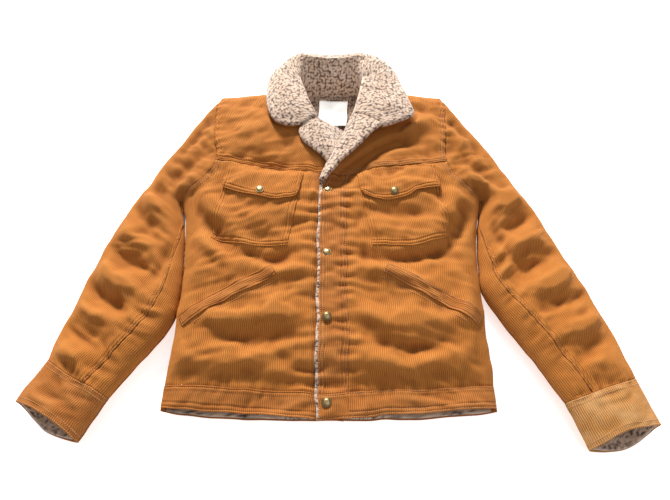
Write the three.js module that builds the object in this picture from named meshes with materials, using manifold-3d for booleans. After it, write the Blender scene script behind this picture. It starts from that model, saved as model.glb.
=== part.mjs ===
// A fleece-lined corduroy trucker jacket, laid flat on its back with the front buttoned.
// +X is the wearer's left, +Y runs from the hem to the collar, +Z is up. Millimetres.
// Plan points are worked out from the middle of the hem, and the whole group is moved at the
// end so that the origin is under the middle of the jacket.
import * as THREE from 'three';
import { mergeVertices } from 'three/addons/utils/BufferGeometryUtils.js';
import Module from 'manifold-3d';

const wasm = await Module();
wasm.setup();

// Body, as it lies
const NECK_POINT_Y = 645;        // hem to the side of the neck
const HEM_WIDTH = 508;
const HEM_RISE = 14;             // the hem's corners lie this much higher than its middle
const SIDE_WIDTH = 504;          // side to side, halfway up
const UNDERARM_WIDTH = 540;
const ARMHOLE_DEPTH = 263;       // neck point to underarm
const UNDERARM_Y = NECK_POINT_Y - ARMHOLE_DEPTH;
const SHOULDER_WIDTH = 444;
const SHOULDER_DROP = 22;        // neck point to shoulder tip
const NECK_WIDTH = 122;
const YOKE_DEPTH = 215;          // neck point to the front yoke seam, at the front edge
const YOKE_Y = NECK_POINT_Y - YOKE_DEPTH;
const YOKE_RISE = 25;            // and how much higher it is at the armhole
const BACK_YOKE_Y = NECK_POINT_Y - 145;
const WAISTBAND = 38;
const BREAK_Y = NECK_POINT_Y - 245;    // where the lapels start to roll open
const BODY_LOFT = 56;            // height of the front over the table
const HEM_LOFT = 42;
const LOFT_Y = 110;              // where the front has risen to its full loft
const SEAM_HEIGHT = 22;          // height of the side folds over the table
const FOLD_RADIUS = 50;          // how far in from a fold the top is rounded

// Arms: angles are measured outwards from straight down the jacket, and each arm lies
// against the side for a length below the underarm
const ARMS = {
  right: { sign: -1, reach: 575, angle: 22.7, cuffAngle: 28.5, bulge: 30, contact: 218 },
  left: { sign: 1, reach: 612, angle: 24.2, cuffAngle: 17.9, bulge: 26, contact: 173 },
};
const CUFF_WIDTH = 120;
const CUFF_LENGTH = 72;
const SLEEVE_LOFT = 46;

// Cloth and fleece
const SHELL = 2;
const FLEECE = 7;
const BAG_SPACE = 3;             // room for the hand-pocket bags between shell and lining
const PLACKET = 3;
const PLACKET_WIDTH = 42;
const PLACKET_OVERLAP = 38;      // how far the right front reaches under the left one
const FACING = 5;
const FACING_END = 1.6;          // it stops short of the yoke seam, so it can lift
const RIM = 1.2;                 // least height of a sheet's edge
const GAP = 0.4;                 // between pieces that touch
const ARMHOLE_GAP = 0.8;         // between the body and a sleeve's end
// The armhole bends the layers, more so on a higher front, so the sleeve lining hangs clear
const SLEEVE_LINING_GAP = 1.2 + (BODY_LOFT - HEM_LOFT) / 10;
const SIDE_GAP = 2;              // between a sleeve's inner fold and the body's side

// Pockets
const POCKET_WIDTH = 140;
const POCKET_HEIGHT = 148;
const POCKET_X = 120;
const POCKET_Y = YOKE_Y + 5;
const POCKET_TILT = 6.8;         // degrees, the outer end is higher
const POCKET_WALL = 1.5;
const POCKET_ROOM = 4.6;         // clear height inside
const POCKET_SEAM = 4;
const FLAP_DROP = 66;            // at its point
const FLAP_SIDE = 48;            // at its sides
const FLAP = 2.5;
const FLAP_LIFT = 3;             // room for the snap under the flap
const WELT_LENGTH = 170;
const WELT_WIDTH = 21;
const WELT = 2.4;
const WELT_LIFT = 1.4;           // over the panel's curve
const WELT_STEPS = 14;
const WELT_X = 92;               // its upper end
const WELT_Y = 236;
const WELT_SLOPE = 30;           // degrees down towards the side
const BAG = { x: 88, inner: 222, outer: 168, bottom: 130 };

// Snaps
const CAP_RADIUS = 7.5;
const CAP_HEIGHT = 3.2;
const SHANK_RADIUS = 1.6;
const SOCKET_RADIUS = 5.6;
const SOCKET_BORE = 3;
const KNOB_RADIUS = 1.7;
const KNOB_REACH = 1.2;          // how far the knob stands into its socket
const SOCKET_HEIGHT = 2;
const SNAP_X = -6;
const SNAP_CLEARANCE = 0.4;
const SNAP_Y = [BREAK_Y - 5, 266, 154, WAISTBAND - 12];

// Collar
const COLLAR_FLEECE = 8;
const UNDERCOLLAR = 2;
const STAND_LEAN = 54;           // how far back the stand leans, neck seam to fold
const WING_BACK_Y = NECK_POINT_Y - 5;  // where the wings meet the back of the collar
const WING_ROOT_Y = NECK_POINT_Y - 89;
const FAN_ANGLE = 108;           // half the angle that the collar turns through round the neck
const STAND_TOP_Z = 54;
const FALL_DROP_Y = 32;
const COLLAR_LIFT = 2;           // how far the wings lie clear of the yokes
const NECK_SEAM_LIFT = 14;       // height of the neck seam at the back
const COLLAR_TURN = [            // the back collar from its seam over the fold and down behind:
  [0, 0, NECK_SEAM_LIFT],        // share of the stand, share of the fall, height
  [0.55, 0, 38],
  [1, 0, STAND_TOP_Z],
  [1, 0.4, 0.78 * STAND_TOP_Z],
  [1, 0.8, 0.34 * STAND_TOP_Z],
  [1, 1, 1],
];
const WINGS = {                  // front end of the fold, width along it, slant of its points
  right: { root: [-30, WING_ROOT_Y], reach: [20, 54, 70, 74, 72, 66], slant: [14, 10, 4, 0, 0, 0] },
  left: { root: [50, WING_ROOT_Y], reach: [104, 96, 90, 85, 78, 66], slant: [26, 18, 8, 4, 8, 15] },
};

// Lapels: the left one rolls over along its fold, the right one's corner shows under it
const LAPEL_FOLD = { foot: [-7.5, YOKE_Y + 5], top: [42, WING_ROOT_Y - 8] };
const LAPEL_WIDTH = { foot: 6, top: 40, growth: 2.2, lean: 0.9, fall: 0.38 };
const LAPEL_LIFT = 0.7;
const LAPEL_ROWS = 6;
const RIGHT_LAPEL = [            // rows up to its point, inner to outer, with y over the yoke seam
  [[-4, 42], [-14, 46], [-24, 50]],
  [[-12, 62], [-28, 64], [-46, 68]],
  [[-20, 84], [-38, 84], [-56, 86]],
  [[-27, 104], [-40, 104], [-54, 104]],
].map((row) => row.map(([x, y]) => [x, YOKE_Y + y]));

// Labels
const LABEL = 0.8;
const LABEL_LIFT = 2.5;
const NECK_LABEL = { x: [-24, 30], y: [NECK_POINT_Y - 85, NECK_POINT_Y - 33] };
const SIZE_TAB = { x: [-6, 12], y: [NECK_POINT_Y - 99, NECK_POINT_Y - 86] };

const FRONT_LINING_DEPTH = SHELL + BAG_SPACE;
const LAP_EASE = (BODY_LOFT - HEM_LOFT) * 0.4 / 7;   // the lap lies looser on a steeper front
const PLACKET_DIP = PLACKET + FACING + LAP_EASE;
const LINING_DIP = PLACKET_DIP + PLACKET + GAP - FRONT_LINING_DEPTH;
const FRONT_EDGE_X = -18;

const material = (color, roughness, metalness = 0) =>
  new THREE.MeshStandardMaterial({ color, roughness, metalness });
const corduroy = material(0xb0703a, 0.85);
const corduroyTrim = material(0xa86a38, 0.85);
const fleece = material(0xd3bfa9, 0.95);
const bagCloth = material(0x8a6a4a, 0.9);
const labelCloth = material(0xf2f2ee, 0.7);
const brass = material(0xb08a4e, 0.35, 0.9);

const jacket = new THREE.Group();

function add(name, geometry, look) {
  const mesh = new THREE.Mesh(geometry, look);
  mesh.name = name;
  jacket.add(mesh);
  return mesh;
}

const mix = (a, b, t) => a + (b - a) * t;
const mixPoint = (a, b, t) => a.map((value, i) => mix(value, b[i], t));
const clamp01 = (t) => Math.min(1, Math.max(0, t));
const ramp = (t, from, to) => clamp01((t - from) / (to - from));
const radians = THREE.MathUtils.degToRad;

// ---- Plan outline ----

// Heights of the body's cross rows, from the hem up to just under the underarm
const LOWER_ROWS = [0, WAISTBAND, LOFT_Y, ...[202, 137, 72].map((d) => UNDERARM_Y - d)];

const shoulderTip = (sign) => [sign * SHOULDER_WIDTH / 2, NECK_POINT_Y - SHOULDER_DROP];
const neckPoint = (sign) => [sign * NECK_WIDTH / 2, NECK_POINT_Y];

function sidePoint(sign, y) {
  const low = ramp(y, HEM_RISE, UNDERARM_Y * 0.45);
  const high = ramp(y, UNDERARM_Y * 0.6, UNDERARM_Y);
  const width = mix(HEM_WIDTH, SIDE_WIDTH, low) + (UNDERARM_WIDTH - SIDE_WIDTH) * high * high;
  return [sign * width / 2, y];
}

// The armhole, from the shoulder tip down to the underarm
const NEAR_FOLD = [0, 5, 12, 26, FOLD_RADIUS];

function armholePoints(sign) {
  const [tipX, tipY] = shoulderTip(sign);
  const waistX = tipX - sign * 9;
  const yokeY = YOKE_Y + YOKE_RISE;
  const points = [
    [tipX, tipY], [waistX + sign * 7, mix(tipY, yokeY, 0.5)], [waistX, yokeY],
    [waistX + sign * 14, mix(yokeY, UNDERARM_Y, 0.5)], sidePoint(sign, UNDERARM_Y),
  ].map(([x, y]) => new THREE.Vector3(x, y, 0));
  const curve = new THREE.CatmullRomCurve3(points, false, 'centripetal');
  const length = curve.getLength();
  const yokeAt = new THREE.CatmullRomCurve3(points.slice(0, 3), false, 'centripetal').getLength();
  const stops = [...NEAR_FOLD, mix(FOLD_RADIUS, yokeAt, 0.5), yokeAt,
    ...NEAR_FOLD.slice(0, 4).reverse().map((d) => length - d)];
  return stops.map((stop) => curve.getPointAt(clamp01(stop / length))).map((p) => [p.x, p.y]);
}
const YOKE_STOP = NEAR_FOLD.length + 1;

function armLines(arm) {
  const { sign, reach, angle, cuffAngle, bulge } = arm;
  const crotchY = UNDERARM_Y - arm.contact;
  const along = (degrees) => [sign * Math.sin(radians(degrees)), -Math.cos(radians(degrees))];
  const tip = shoulderTip(sign);
  const direction = along(angle);
  const cuffWay = along(cuffAngle);
  const across = [-sign * -cuffWay[1], -sign * cuffWay[0]];
  const outerSeam = tip.map((value, i) => value + reach * direction[i]);
  const innerSeam = outerSeam.map((value, i) => value + CUFF_WIDTH * across[i]);
  const outwards = [sign * Math.cos(radians(angle)), Math.sin(radians(angle))];
  const control = mixPoint(tip, outerSeam, 0.5).map((value, i) => value + 2 * bulge * outwards[i]);
  const outer = new THREE.QuadraticBezierCurve3(
    ...[tip, control, outerSeam].map(([x, y]) => new THREE.Vector3(x, y, 0)));
  const contact = [UNDERARM_Y, ...LOWER_ROWS.slice(-2).reverse(), crotchY].map((y) => {
    const [x] = sidePoint(sign, y);
    return [x + sign * (y === UNDERARM_Y ? 1.5 : 1) * SIDE_GAP, y];
  });
  return { arm, cuffWay, outerSeam, innerSeam, outer, inner: [...contact, innerSeam] };
}

function pointAlong(line, t) {
  const lengths = line.slice(1).map((p, i) => Math.hypot(p[0] - line[i][0], p[1] - line[i][1]));
  let left = t * lengths.reduce((a, b) => a + b, 0);
  for (let i = 0; i < lengths.length; i += 1) {
    if (left <= lengths[i] || i === lengths.length - 1) {
      return mixPoint(line[i], line[i + 1], Math.min(1, left / lengths[i]));
    }
    left -= lengths[i];
  }
  return line[line.length - 1];
}

// Rungs of an arm from the armhole to the cuff's mouth. The armhole itself is the first rung,
// and the inner line's stops are crowded towards the underarm, so no rung crosses the body.
const SLEEVE_RUNGS = 9;
const UNDERARM_CROWDING = 2.2;

function armGrid(lines) {
  const { arm, cuffWay, outerSeam, innerSeam, outer, inner } = lines;
  const hole = armholePoints(arm.sign).map(([x, y]) => [x + arm.sign * ARMHOLE_GAP, y]);
  const grid = [hole];
  for (let i = 1; i <= SLEEVE_RUNGS; i += 1) {
    const t = i / SLEEVE_RUNGS;
    const { x, y } = outer.getPoint(t);
    const a = [x, y];
    const b = pointAlong(inner, t ** UNDERARM_CROWDING);
    const width = Math.hypot(b[0] - a[0], b[1] - a[1]);
    const near = NEAR_FOLD.map((d) => Math.min(d, width * 0.4 * d / FOLD_RADIUS) / width);
    const stops = [...near, 0.55, ...near.slice(0, 5).reverse().map((u) => 1 - u)];
    grid.push(stops.map((u) => mixPoint(a, b, u)));
  }
  const stops = grid[SLEEVE_RUNGS].map((p) => Math.hypot(p[0] - outerSeam[0], p[1] - outerSeam[1])
    / CUFF_WIDTH);
  for (const step of [0.5, 1]) {
    const move = cuffWay.map((value) => value * CUFF_LENGTH * step);
    grid.push(stops.map((u) => mixPoint(outerSeam, innerSeam, u).map((v, i) => v + move[i])));
  }
  return grid;
}

const arms = [ARMS.right, ARMS.left].map((arm) => {
  const lines = armLines(arm);
  return { arm, lines, grid: armGrid(lines) };
});

// Folds of the lying jacket: every line where its top rolls over to its underside
const folds = [];
for (const { arm, grid } of arms) {
  const sides = [];
  for (let i = 0; i <= 12; i += 1) {
    sides.push(sidePoint(arm.sign, mix(HEM_RISE, UNDERARM_Y, i / 12)));
  }
  folds.push([neckPoint(arm.sign), ...grid.map((row) => row[0])]);
  folds.push(sides);
  folds.push(grid.map((row) => row[row.length - 1]));
}

function foldDistance(x, y) {
  let least = Infinity;
  for (const line of folds) {
    for (let i = 1; i < line.length; i += 1) {
      const [ax, ay] = line[i - 1];
      const dx = line[i][0] - ax;
      const dy = line[i][1] - ay;
      const t = clamp01(((x - ax) * dx + (y - ay) * dy) / (dx * dx + dy * dy || 1));
      least = Math.min(least, Math.hypot(x - ax - t * dx, y - ay - t * dy));
    }
  }
  return least;
}

function loftAt(x, y) {
  const atHem = ramp(y, WAISTBAND + 4, LOFT_Y);
  const onArm = ramp(Math.abs(x), SHOULDER_WIDTH / 2, SHOULDER_WIDTH / 2 + 80);
  return mix(mix(HEM_LOFT, BODY_LOFT, atHem), SLEEVE_LOFT, onArm);
}

const roundOver = (d) => Math.sqrt(1 - (1 - clamp01(d / FOLD_RADIUS)) ** 2);

// Height of a layer's face, depth below the front's outside or above the back's outside
function frontHeight(x, y, depth) {
  const rise = loftAt(x, y) - depth - SEAM_HEIGHT;
  return SEAM_HEIGHT + GAP / 2 + rise * roundOver(foldDistance(x, y) - depth);
}

function backHeight(x, y, depth) {
  const fall = SEAM_HEIGHT - depth;
  return SEAM_HEIGHT - GAP / 2 - (fall - GAP / 2) * roundOver(foldDistance(x, y) - depth);
}

const frontFace = (outer, inner) => ([x, y]) => {
  const low = frontHeight(x, y, inner);
  return [[x, y, Math.max(frontHeight(x, y, outer), low + RIM)], [x, y, low]];
};

const backFace = (outer, inner) => ([x, y]) => {
  const high = backHeight(x, y, inner);
  return [[x, y, Math.min(backHeight(x, y, outer), high - RIM)], [x, y, high]];
};

// ---- Solids ----

// A closed solid between two faces, given as rows of [outer point, inner point] pairs.
// A ring's rows close on themselves.
function solid(rows, ring = false) {
  const count = rows[0].length;
  const positions = rows.flatMap((row) => row.flatMap((pair) => pair)).flat();
  const at = (i, j, face) => 2 * (i * count + (j % count)) + face;
  const triangles = [];
  const quad = (a, b, c, d) => triangles.push(a, b, c, a, c, d);
  const last = rows.length - 1;
  const wide = ring ? count : count - 1;
  for (let j = 0; j < wide; j += 1) {
    for (let i = 0; i < last; i += 1) {
      quad(at(i, j, 0), at(i + 1, j, 0), at(i + 1, j + 1, 0), at(i, j + 1, 0));
      quad(at(i, j, 1), at(i, j + 1, 1), at(i + 1, j + 1, 1), at(i + 1, j, 1));
    }
    quad(at(0, j, 0), at(0, j + 1, 0), at(0, j + 1, 1), at(0, j, 1));
    quad(at(last, j, 0), at(last, j, 1), at(last, j + 1, 1), at(last, j + 1, 0));
  }
  if (!ring) {
    for (let i = 0; i < last; i += 1) {
      quad(at(i, 0, 0), at(i, 0, 1), at(i + 1, 0, 1), at(i + 1, 0, 0));
      quad(at(i, wide, 0), at(i + 1, wide, 0), at(i + 1, wide, 1), at(i, wide, 1));
    }
  }
  return facingOut(positions, triangles);
}

function facingOut(positions, triangles) {
  let volume = 0;
  const corner = (k) => new THREE.Vector3(...positions.slice(3 * k, 3 * k + 3));
  for (let i = 0; i < triangles.length; i += 3) {
    const [a, b, c] = [0, 1, 2].map((n) => corner(triangles[i + n]));
    volume += a.dot(b.cross(c));
  }
  if (volume < 0) {
    for (let i = 0; i < triangles.length; i += 3) {
      [triangles[i + 1], triangles[i + 2]] = [triangles[i + 2], triangles[i + 1]];
    }
  }
  const geometry = new THREE.BufferGeometry();
  geometry.setAttribute('position', new THREE.Float32BufferAttribute(positions, 3));
  geometry.setIndex(triangles);
  return geometry;
}

const sheet = (grid, face) => solid(grid.map((row) => row.map(face)));

function toManifold(geometry) {
  const bare = geometry.clone();
  bare.deleteAttribute('normal');
  bare.deleteAttribute('uv');
  const merged = mergeVertices(bare, 1e-4);
  return new wasm.Manifold(new wasm.Mesh({
    numProp: 3,
    vertProperties: Float32Array.from(merged.attributes.position.array),
    triVerts: Uint32Array.from(merged.index.array),
  }));
}

function cut(geometry, tools) {
  let body = toManifold(geometry);
  for (const tool of tools) {
    body = body.subtract(toManifold(tool));
  }
  const mesh = body.getMesh();
  const result = new THREE.BufferGeometry();
  result.setAttribute('position', new THREE.Float32BufferAttribute(mesh.vertProperties, 3));
  result.setIndex([...mesh.triVerts]);
  return result;
}

function punch(x, y, radius) {
  const height = 4 * BODY_LOFT;
  const geometry = new THREE.CylinderGeometry(radius, radius, height, 12);
  return geometry.rotateX(Math.PI / 2).translate(x, y, 0);
}

// Pulls the borders of a block of rows in, so that neighbours keep their gap
function inset(grid, { first = 0, last = 0, start = 0, end = 0 }) {
  const rows = grid.map((row) => row.map((p) => [...p]));
  const pull = (p, q, by) => {
    const span = Math.hypot(q[0] - p[0], q[1] - p[1]) || 1;
    return mixPoint(p, q, by / span);
  };
  const n = rows.length - 1;
  const m = rows[0].length - 1;
  if (first) rows[0] = grid[0].map((p, j) => pull(p, grid[1][j], first));
  if (last) rows[n] = grid[n].map((p, j) => pull(p, grid[n - 1][j], last));
  for (const row of rows) {
    if (start) row[0] = pull(row[0], row[1], start);
    if (end) row[m] = pull(row[m], row[m - 1], end);
  }
  return rows;
}

const columns = (grid, from, to) => grid.map((row) => row.slice(from, to + 1));

// ---- Body grids ----

// Front rows run from the hem to the shoulder, columns from the front edge to the side. Each
// point is [x, y, dip, lining dip]: a dip of 1 is a place where the right front passes
// under the left one.
const NECKLINE_STOPS = [0.15, 0.28, 0.6, 0.85, 0.96, 1];
const DIPPED_YOKE_ROWS = 1;      // the right yoke still passes under the left one up to this row

function frontGrid(sign) {
  const hole = armholePoints(sign).reverse();
  const yokeIndex = hole.length - 1 - YOKE_STOP;
  const edgeX = sign > 0 ? FRONT_EDGE_X : FRONT_EDGE_X + PLACKET_OVERLAP;
  const rungs = LOWER_ROWS.map((y) => {
    const rise = HEM_RISE * (1 - ramp(y, WAISTBAND, LOWER_ROWS[4]));
    return [[edgeX, y], sidePoint(sign, y + rise)];
  });
  const neck = neckPoint(sign);
  const edgeAt = (y) => [...mixPoint([edgeX, BREAK_Y], neck, ramp(y, BREAK_Y, NECK_POINT_Y))
    .slice(0, 1), y];
  hole.slice(0, yokeIndex + 1).forEach((p, i) => {
    rungs.push([edgeAt(mix(UNDERARM_Y - 22, YOKE_Y, i / yokeIndex)), p]);
  });
  hole.slice(yokeIndex + 1).forEach((p, i) => {
    rungs.push([edgeAt(mix(YOKE_Y, NECK_POINT_Y, NECKLINE_STOPS[i])), p]);
  });
  const yokeRow = LOWER_ROWS.length + yokeIndex;
  const grid = rungs.map(([a, b], i) => {
    const width = Math.hypot(b[0] - a[0], b[1] - a[1]);
    const tight = Math.min(1, width / 240);
    const near = [0, PLACKET_OVERLAP, PLACKET_WIDTH + 4, 65].map((d) => d * tight);
    const far = NEAR_FOLD.map((d) => width - d * tight).reverse();
    const middle = [0.35, 0.7].map((t) => mix(near[3], far[0], t));
    return [...near, ...middle, ...far].map((d, j) => {
      const dip = sign < 0 && j < 2 && i <= yokeRow + DIPPED_YOKE_ROWS ? 1 : 0;
      const liningDip = sign < 0 && j < 3 && i <= yokeRow + DIPPED_YOKE_ROWS + 1 ? 1 : 0;
      return [...mixPoint(a, b, d / width), dip, liningDip];
    });
  });
  return { grid, yokeRow };
}

// Back rows run from side to side, and the top ones rise to the neck points
const BACK_NECK_DROP = 12;

function neckRise(x) {
  const neck = NECK_WIDTH / 2;
  if (Math.abs(x) > neck) {
    return SHOULDER_DROP * ramp(-Math.abs(x), -SHOULDER_WIDTH / 2, -neck);
  }
  return SHOULDER_DROP - BACK_NECK_DROP * (1 - (x / neck) ** 2);
}

function backGrid() {
  const halves = [-1, 1].map((sign) => frontGrid(sign).grid.map((row) => row[row.length - 1]));
  return halves[0].map((a, i) => {
    const b = halves[1][i];
    const width = b[0] - a[0];
    const near = NEAR_FOLD.map((d) => d / width);
    const neck = NECK_WIDTH / 2 / width;
    const rise = ramp(a[1], BACK_YOKE_Y, NECK_POINT_Y - SHOULDER_DROP);
    const stops = [...near, 0.5 - neck, 0.5, 0.5 + neck, ...near.map((u) => 1 - u).reverse()];
    return stops.map((u) => {
      const [x, y] = mixPoint(a, b, u);
      return [x, y + rise * neckRise(x)];
    });
  });
}

// ---- Front ----

const WAIST_ROW = 1;
const PLACKET_COLUMN = 2;
const names = { '-1': 'right', 1: 'left' };
const fronts = {};

const dipped = (drop, at) => (outer, inner) => (point) => {
  const by = drop * (point[at] || 0);
  return frontFace(outer + by, inner + by)(point);
};
const shellFace = dipped(PLACKET_DIP, 2);
const liningFace = dipped(LINING_DIP, 3);
const shankHole = (y) => punch(SNAP_X, y, SHANK_RADIUS + SNAP_CLEARANCE);

for (const sign of [-1, 1]) {
  const name = names[sign];
  const { grid, yokeRow } = frontGrid(sign);
  fronts[name] = { grid, yokeRow };
  const wide = grid[0].length - 1;
  const body = grid.slice(WAIST_ROW, yokeRow + 1);
  const half = GAP / 2;
  add(`${name}_front_panel`, sheet(inset(columns(body, PLACKET_COLUMN, wide),
    { first: half, last: half, start: half }), shellFace(0, SHELL)), corduroy);
  add(`${name}_front_yoke`, sheet(inset(grid.slice(yokeRow), { first: half }),
    shellFace(0, SHELL)), corduroy);
  const band = inset(grid.slice(0, WAIST_ROW + 1), { last: half });
  const waistHole = [shankHole(SNAP_Y[3])];
  if (sign < 0) {
    add('right_waistband', cut(sheet(band, shellFace(0, SHELL)), waistHole), corduroyTrim);
  } else {
    add('left_waistband', sheet(inset(columns(band, PLACKET_COLUMN, wide), { start: half }),
      shellFace(0, SHELL)), corduroyTrim);
    add('left_waistband_end', cut(sheet(inset(columns(band, 0, PLACKET_COLUMN), { end: half }),
      shellFace(0, SHELL)), waistHole), corduroyTrim);
  }
  const placket = inset(columns(body, 0, PLACKET_COLUMN), { first: half, last: half, end: half });
  add(`${name}_placket`, cut(sheet(placket, shellFace(0, PLACKET)),
    SNAP_Y.slice(0, 3).map(shankHole)), corduroyTrim);
}

{
  const { grid, yokeRow } = fronts.left;
  const edge = columns(grid.slice(0, yokeRow + 1), 0, PLACKET_COLUMN);
  const holes = SNAP_Y.map((y) => punch(SNAP_X, y, SOCKET_RADIUS + 1));
  add('left_front_facing', cut(sheet(inset(edge, { last: FACING_END, end: GAP / 2 }),
    frontFace(PLACKET + GAP, PLACKET + GAP + FACING)), holes), fleece);
}

// ---- Linings of the body ----

const FRONT_INNER = FRONT_LINING_DEPTH + FLEECE;
const BACK_LINING_DEPTH = SHELL + GAP;
const BACK_INNER = BACK_LINING_DEPTH + FLEECE;
{
  const left = fronts.left.grid.slice(0, -1).map((row) => row.slice(PLACKET_COLUMN, -1));
  add('left_front_lining', sheet(inset(left, { start: GAP / 2 }),
    liningFace(FRONT_LINING_DEPTH, FRONT_INNER)), fleece);
  const right = fronts.right.grid.slice(0, -1).map((row) => row.slice(0, -1));
  add('right_front_lining', sheet(right, liningFace(FRONT_LINING_DEPTH, FRONT_INNER)), fleece);
}

// ---- Back ----

{
  const grid = backGrid();
  const yokeRow = fronts.left.yokeRow + 1;
  const half = GAP / 2;
  add('back_waistband', sheet(inset(grid.slice(0, WAIST_ROW + 1), { last: half }),
    backFace(0, SHELL)), corduroyTrim);
  add('back_panel', sheet(inset(grid.slice(WAIST_ROW, yokeRow + 1), { first: half, last: half }),
    backFace(0, SHELL)), corduroy);
  add('back_yoke', sheet(inset(grid.slice(yokeRow), { first: half }), backFace(0, SHELL)), corduroy);
  add('back_lining', sheet(grid.slice(0, -1).map((row) => row.slice(1, -1)),
    backFace(BACK_LINING_DEPTH, BACK_INNER)), fleece);
}

// ---- Sleeves, cuffs and their linings ----

// Pairs round an arm: over the top from column to column, and back underneath
function around(row, top, under, outer, inner) {
  const last = row.length - 1;
  const hem = (j) => {
    const next = j === 0 ? 1 : last - 1;
    const [x, y] = row[j];
    const span = Math.hypot(row[next][0] - x, row[next][1] - y);
    const [ix, iy] = mixPoint(row[j], row[next], 0.8 * SHELL / span);
    return [[x, y, SEAM_HEIGHT], [ix, iy, SEAM_HEIGHT]];
  };
  const over = top.map((j) => (j === last || j === 0 ? hem(j) : frontFace(outer, inner)(row[j])));
  const below = under.map((j) => (j === 0 || j === last ? hem(j) : backFace(outer, inner)(row[j])));
  return [...over, ...below];
}

const span = (from, to) => {
  const step = Math.sign(to - from);
  return Array.from({ length: Math.abs(to - from) + 1 }, (_, i) => from + step * i);
};

for (const { arm, grid } of arms) {
  const name = names[arm.sign];
  const last = grid[0].length - 1;
  const seam = last - 3;
  const half = GAP / 2;
  const sleeve = inset(grid.slice(0, SLEEVE_RUNGS + 1), { last: half });
  add(`${name}_top_sleeve`, sheet(inset(columns(sleeve, 0, seam), { end: half }),
    frontFace(0, SHELL)), corduroy);
  const wrap = sleeve.map((row) => {
    const pairs = around(row, span(seam, last), span(last - 1, 1), 0, SHELL);
    const start = mixPoint(row[seam], row[seam + 1], half / Math.hypot(
      row[seam + 1][0] - row[seam][0], row[seam + 1][1] - row[seam][1]));
    pairs[0] = frontFace(0, SHELL)(start);
    return [...pairs, backFace(0, SHELL)(row[0])];
  });
  add(`${name}_under_sleeve`, solid(wrap), corduroy);
  const cuff = inset(grid.slice(SLEEVE_RUNGS), { first: half });
  add(`${name}_cuff`, solid(cuff.map((row) => around(row, span(0, last), span(last - 1, 1),
    0, SHELL)), true), corduroyTrim);
  const depth = SHELL + SLEEVE_LINING_GAP;
  const lined = inset(columns(grid, 1, last - 2), { first: 4, last: 2, end: 5 });
  const tube = lined.map((row) => {
    const end = row.length - 1;
    const face = (layer, side) => (point, j) => {
      const pair = layer(depth, depth + FLEECE)(point);
      if (j === 0 || j === end) {
        const [x, y] = mixPoint(point, row[j === 0 ? 1 : end - 1], 0.85);
        pair[1] = [x, y, SEAM_HEIGHT + side * 0.3];
      }
      return pair;
    };
    return [...row.map(face(frontFace, 1)), ...row.map(face(backFace, -1)).reverse()];
  });
  add(`${name}_sleeve_lining`, solid(tube, true), fleece);
}

// ---- Chest pockets, flaps and their snaps ----

function lathe(profile, sides = 14) {
  const points = profile.map(([r, z]) => new THREE.Vector2(r, z));
  return new THREE.LatheGeometry(points, sides).rotateX(Math.PI / 2);
}

// A domed cap with its shank, standing on z = 0 with the shank reaching down
function snapCap(shank) {
  return lathe([[0, -shank], [SHANK_RADIUS, -shank], [SHANK_RADIUS, 0], [CAP_RADIUS, 0],
    [CAP_RADIUS, 1], [CAP_RADIUS * 0.8, CAP_HEIGHT * 0.75], [CAP_RADIUS * 0.45, CAP_HEIGHT * 0.96],
    [0, CAP_HEIGHT]]);
}

// A ring with a bore for the stud's knob, hanging from z = 0
function snapSocket(height) {
  return lathe([[SOCKET_BORE, -height], [SOCKET_RADIUS, -height], [SOCKET_RADIUS, 0],
    [SOCKET_BORE, 0], [SOCKET_BORE, -height]]);
}

// A flange on z = 0 with its knob above and its shank below
function snapStud(knob, shank) {
  return lathe([[0, -shank], [SHANK_RADIUS, -shank], [SHANK_RADIUS, 0], [SOCKET_RADIUS - 0.6, 0],
    [SOCKET_RADIUS - 0.6, 0.9], [KNOB_RADIUS, 0.9], [KNOB_RADIUS, knob], [0, knob]]);
}

function pocketOutline(width, height, point) {
  const shape = new THREE.Shape();
  const half = width / 2;
  shape.moveTo(-half, 0);
  shape.lineTo(-half * 0.95, -height);
  shape.lineTo(0, -height - point);
  shape.lineTo(half * 0.95, -height);
  shape.lineTo(half, 0);
  shape.closePath();
  return shape;
}

function flapOutline() {
  const shape = new THREE.Shape();
  const half = POCKET_WIDTH / 2 + 1;
  shape.moveTo(-half, 0);
  shape.lineTo(-half, -FLAP_SIDE + 6);
  shape.quadraticCurveTo(-half + 1, -FLAP_SIDE, -half + 12, -FLAP_SIDE - 2);
  shape.quadraticCurveTo(-half * 0.4, -FLAP_DROP + 4, 0, -FLAP_DROP);
  shape.quadraticCurveTo(half * 0.4, -FLAP_DROP + 4, half - 12, -FLAP_SIDE - 2);
  shape.quadraticCurveTo(half - 1, -FLAP_SIDE, half, -FLAP_SIDE + 6);
  shape.lineTo(half, 0);
  shape.closePath();
  return shape;
}

const slab = (shape, depth, curveSegments = 4) =>
  new THREE.ExtrudeGeometry(shape, { depth, bevelEnabled: false, curveSegments });

const POCKET_BASE = BODY_LOFT + GAP;
const POCKET_TOP = POCKET_BASE + POCKET_ROOM + POCKET_WALL;
const FLAP_BASE = POCKET_TOP + FLAP_LIFT;
const FLAP_SNAP_Y = -FLAP_DROP + 14;
const pocketPlaces = {};

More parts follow.
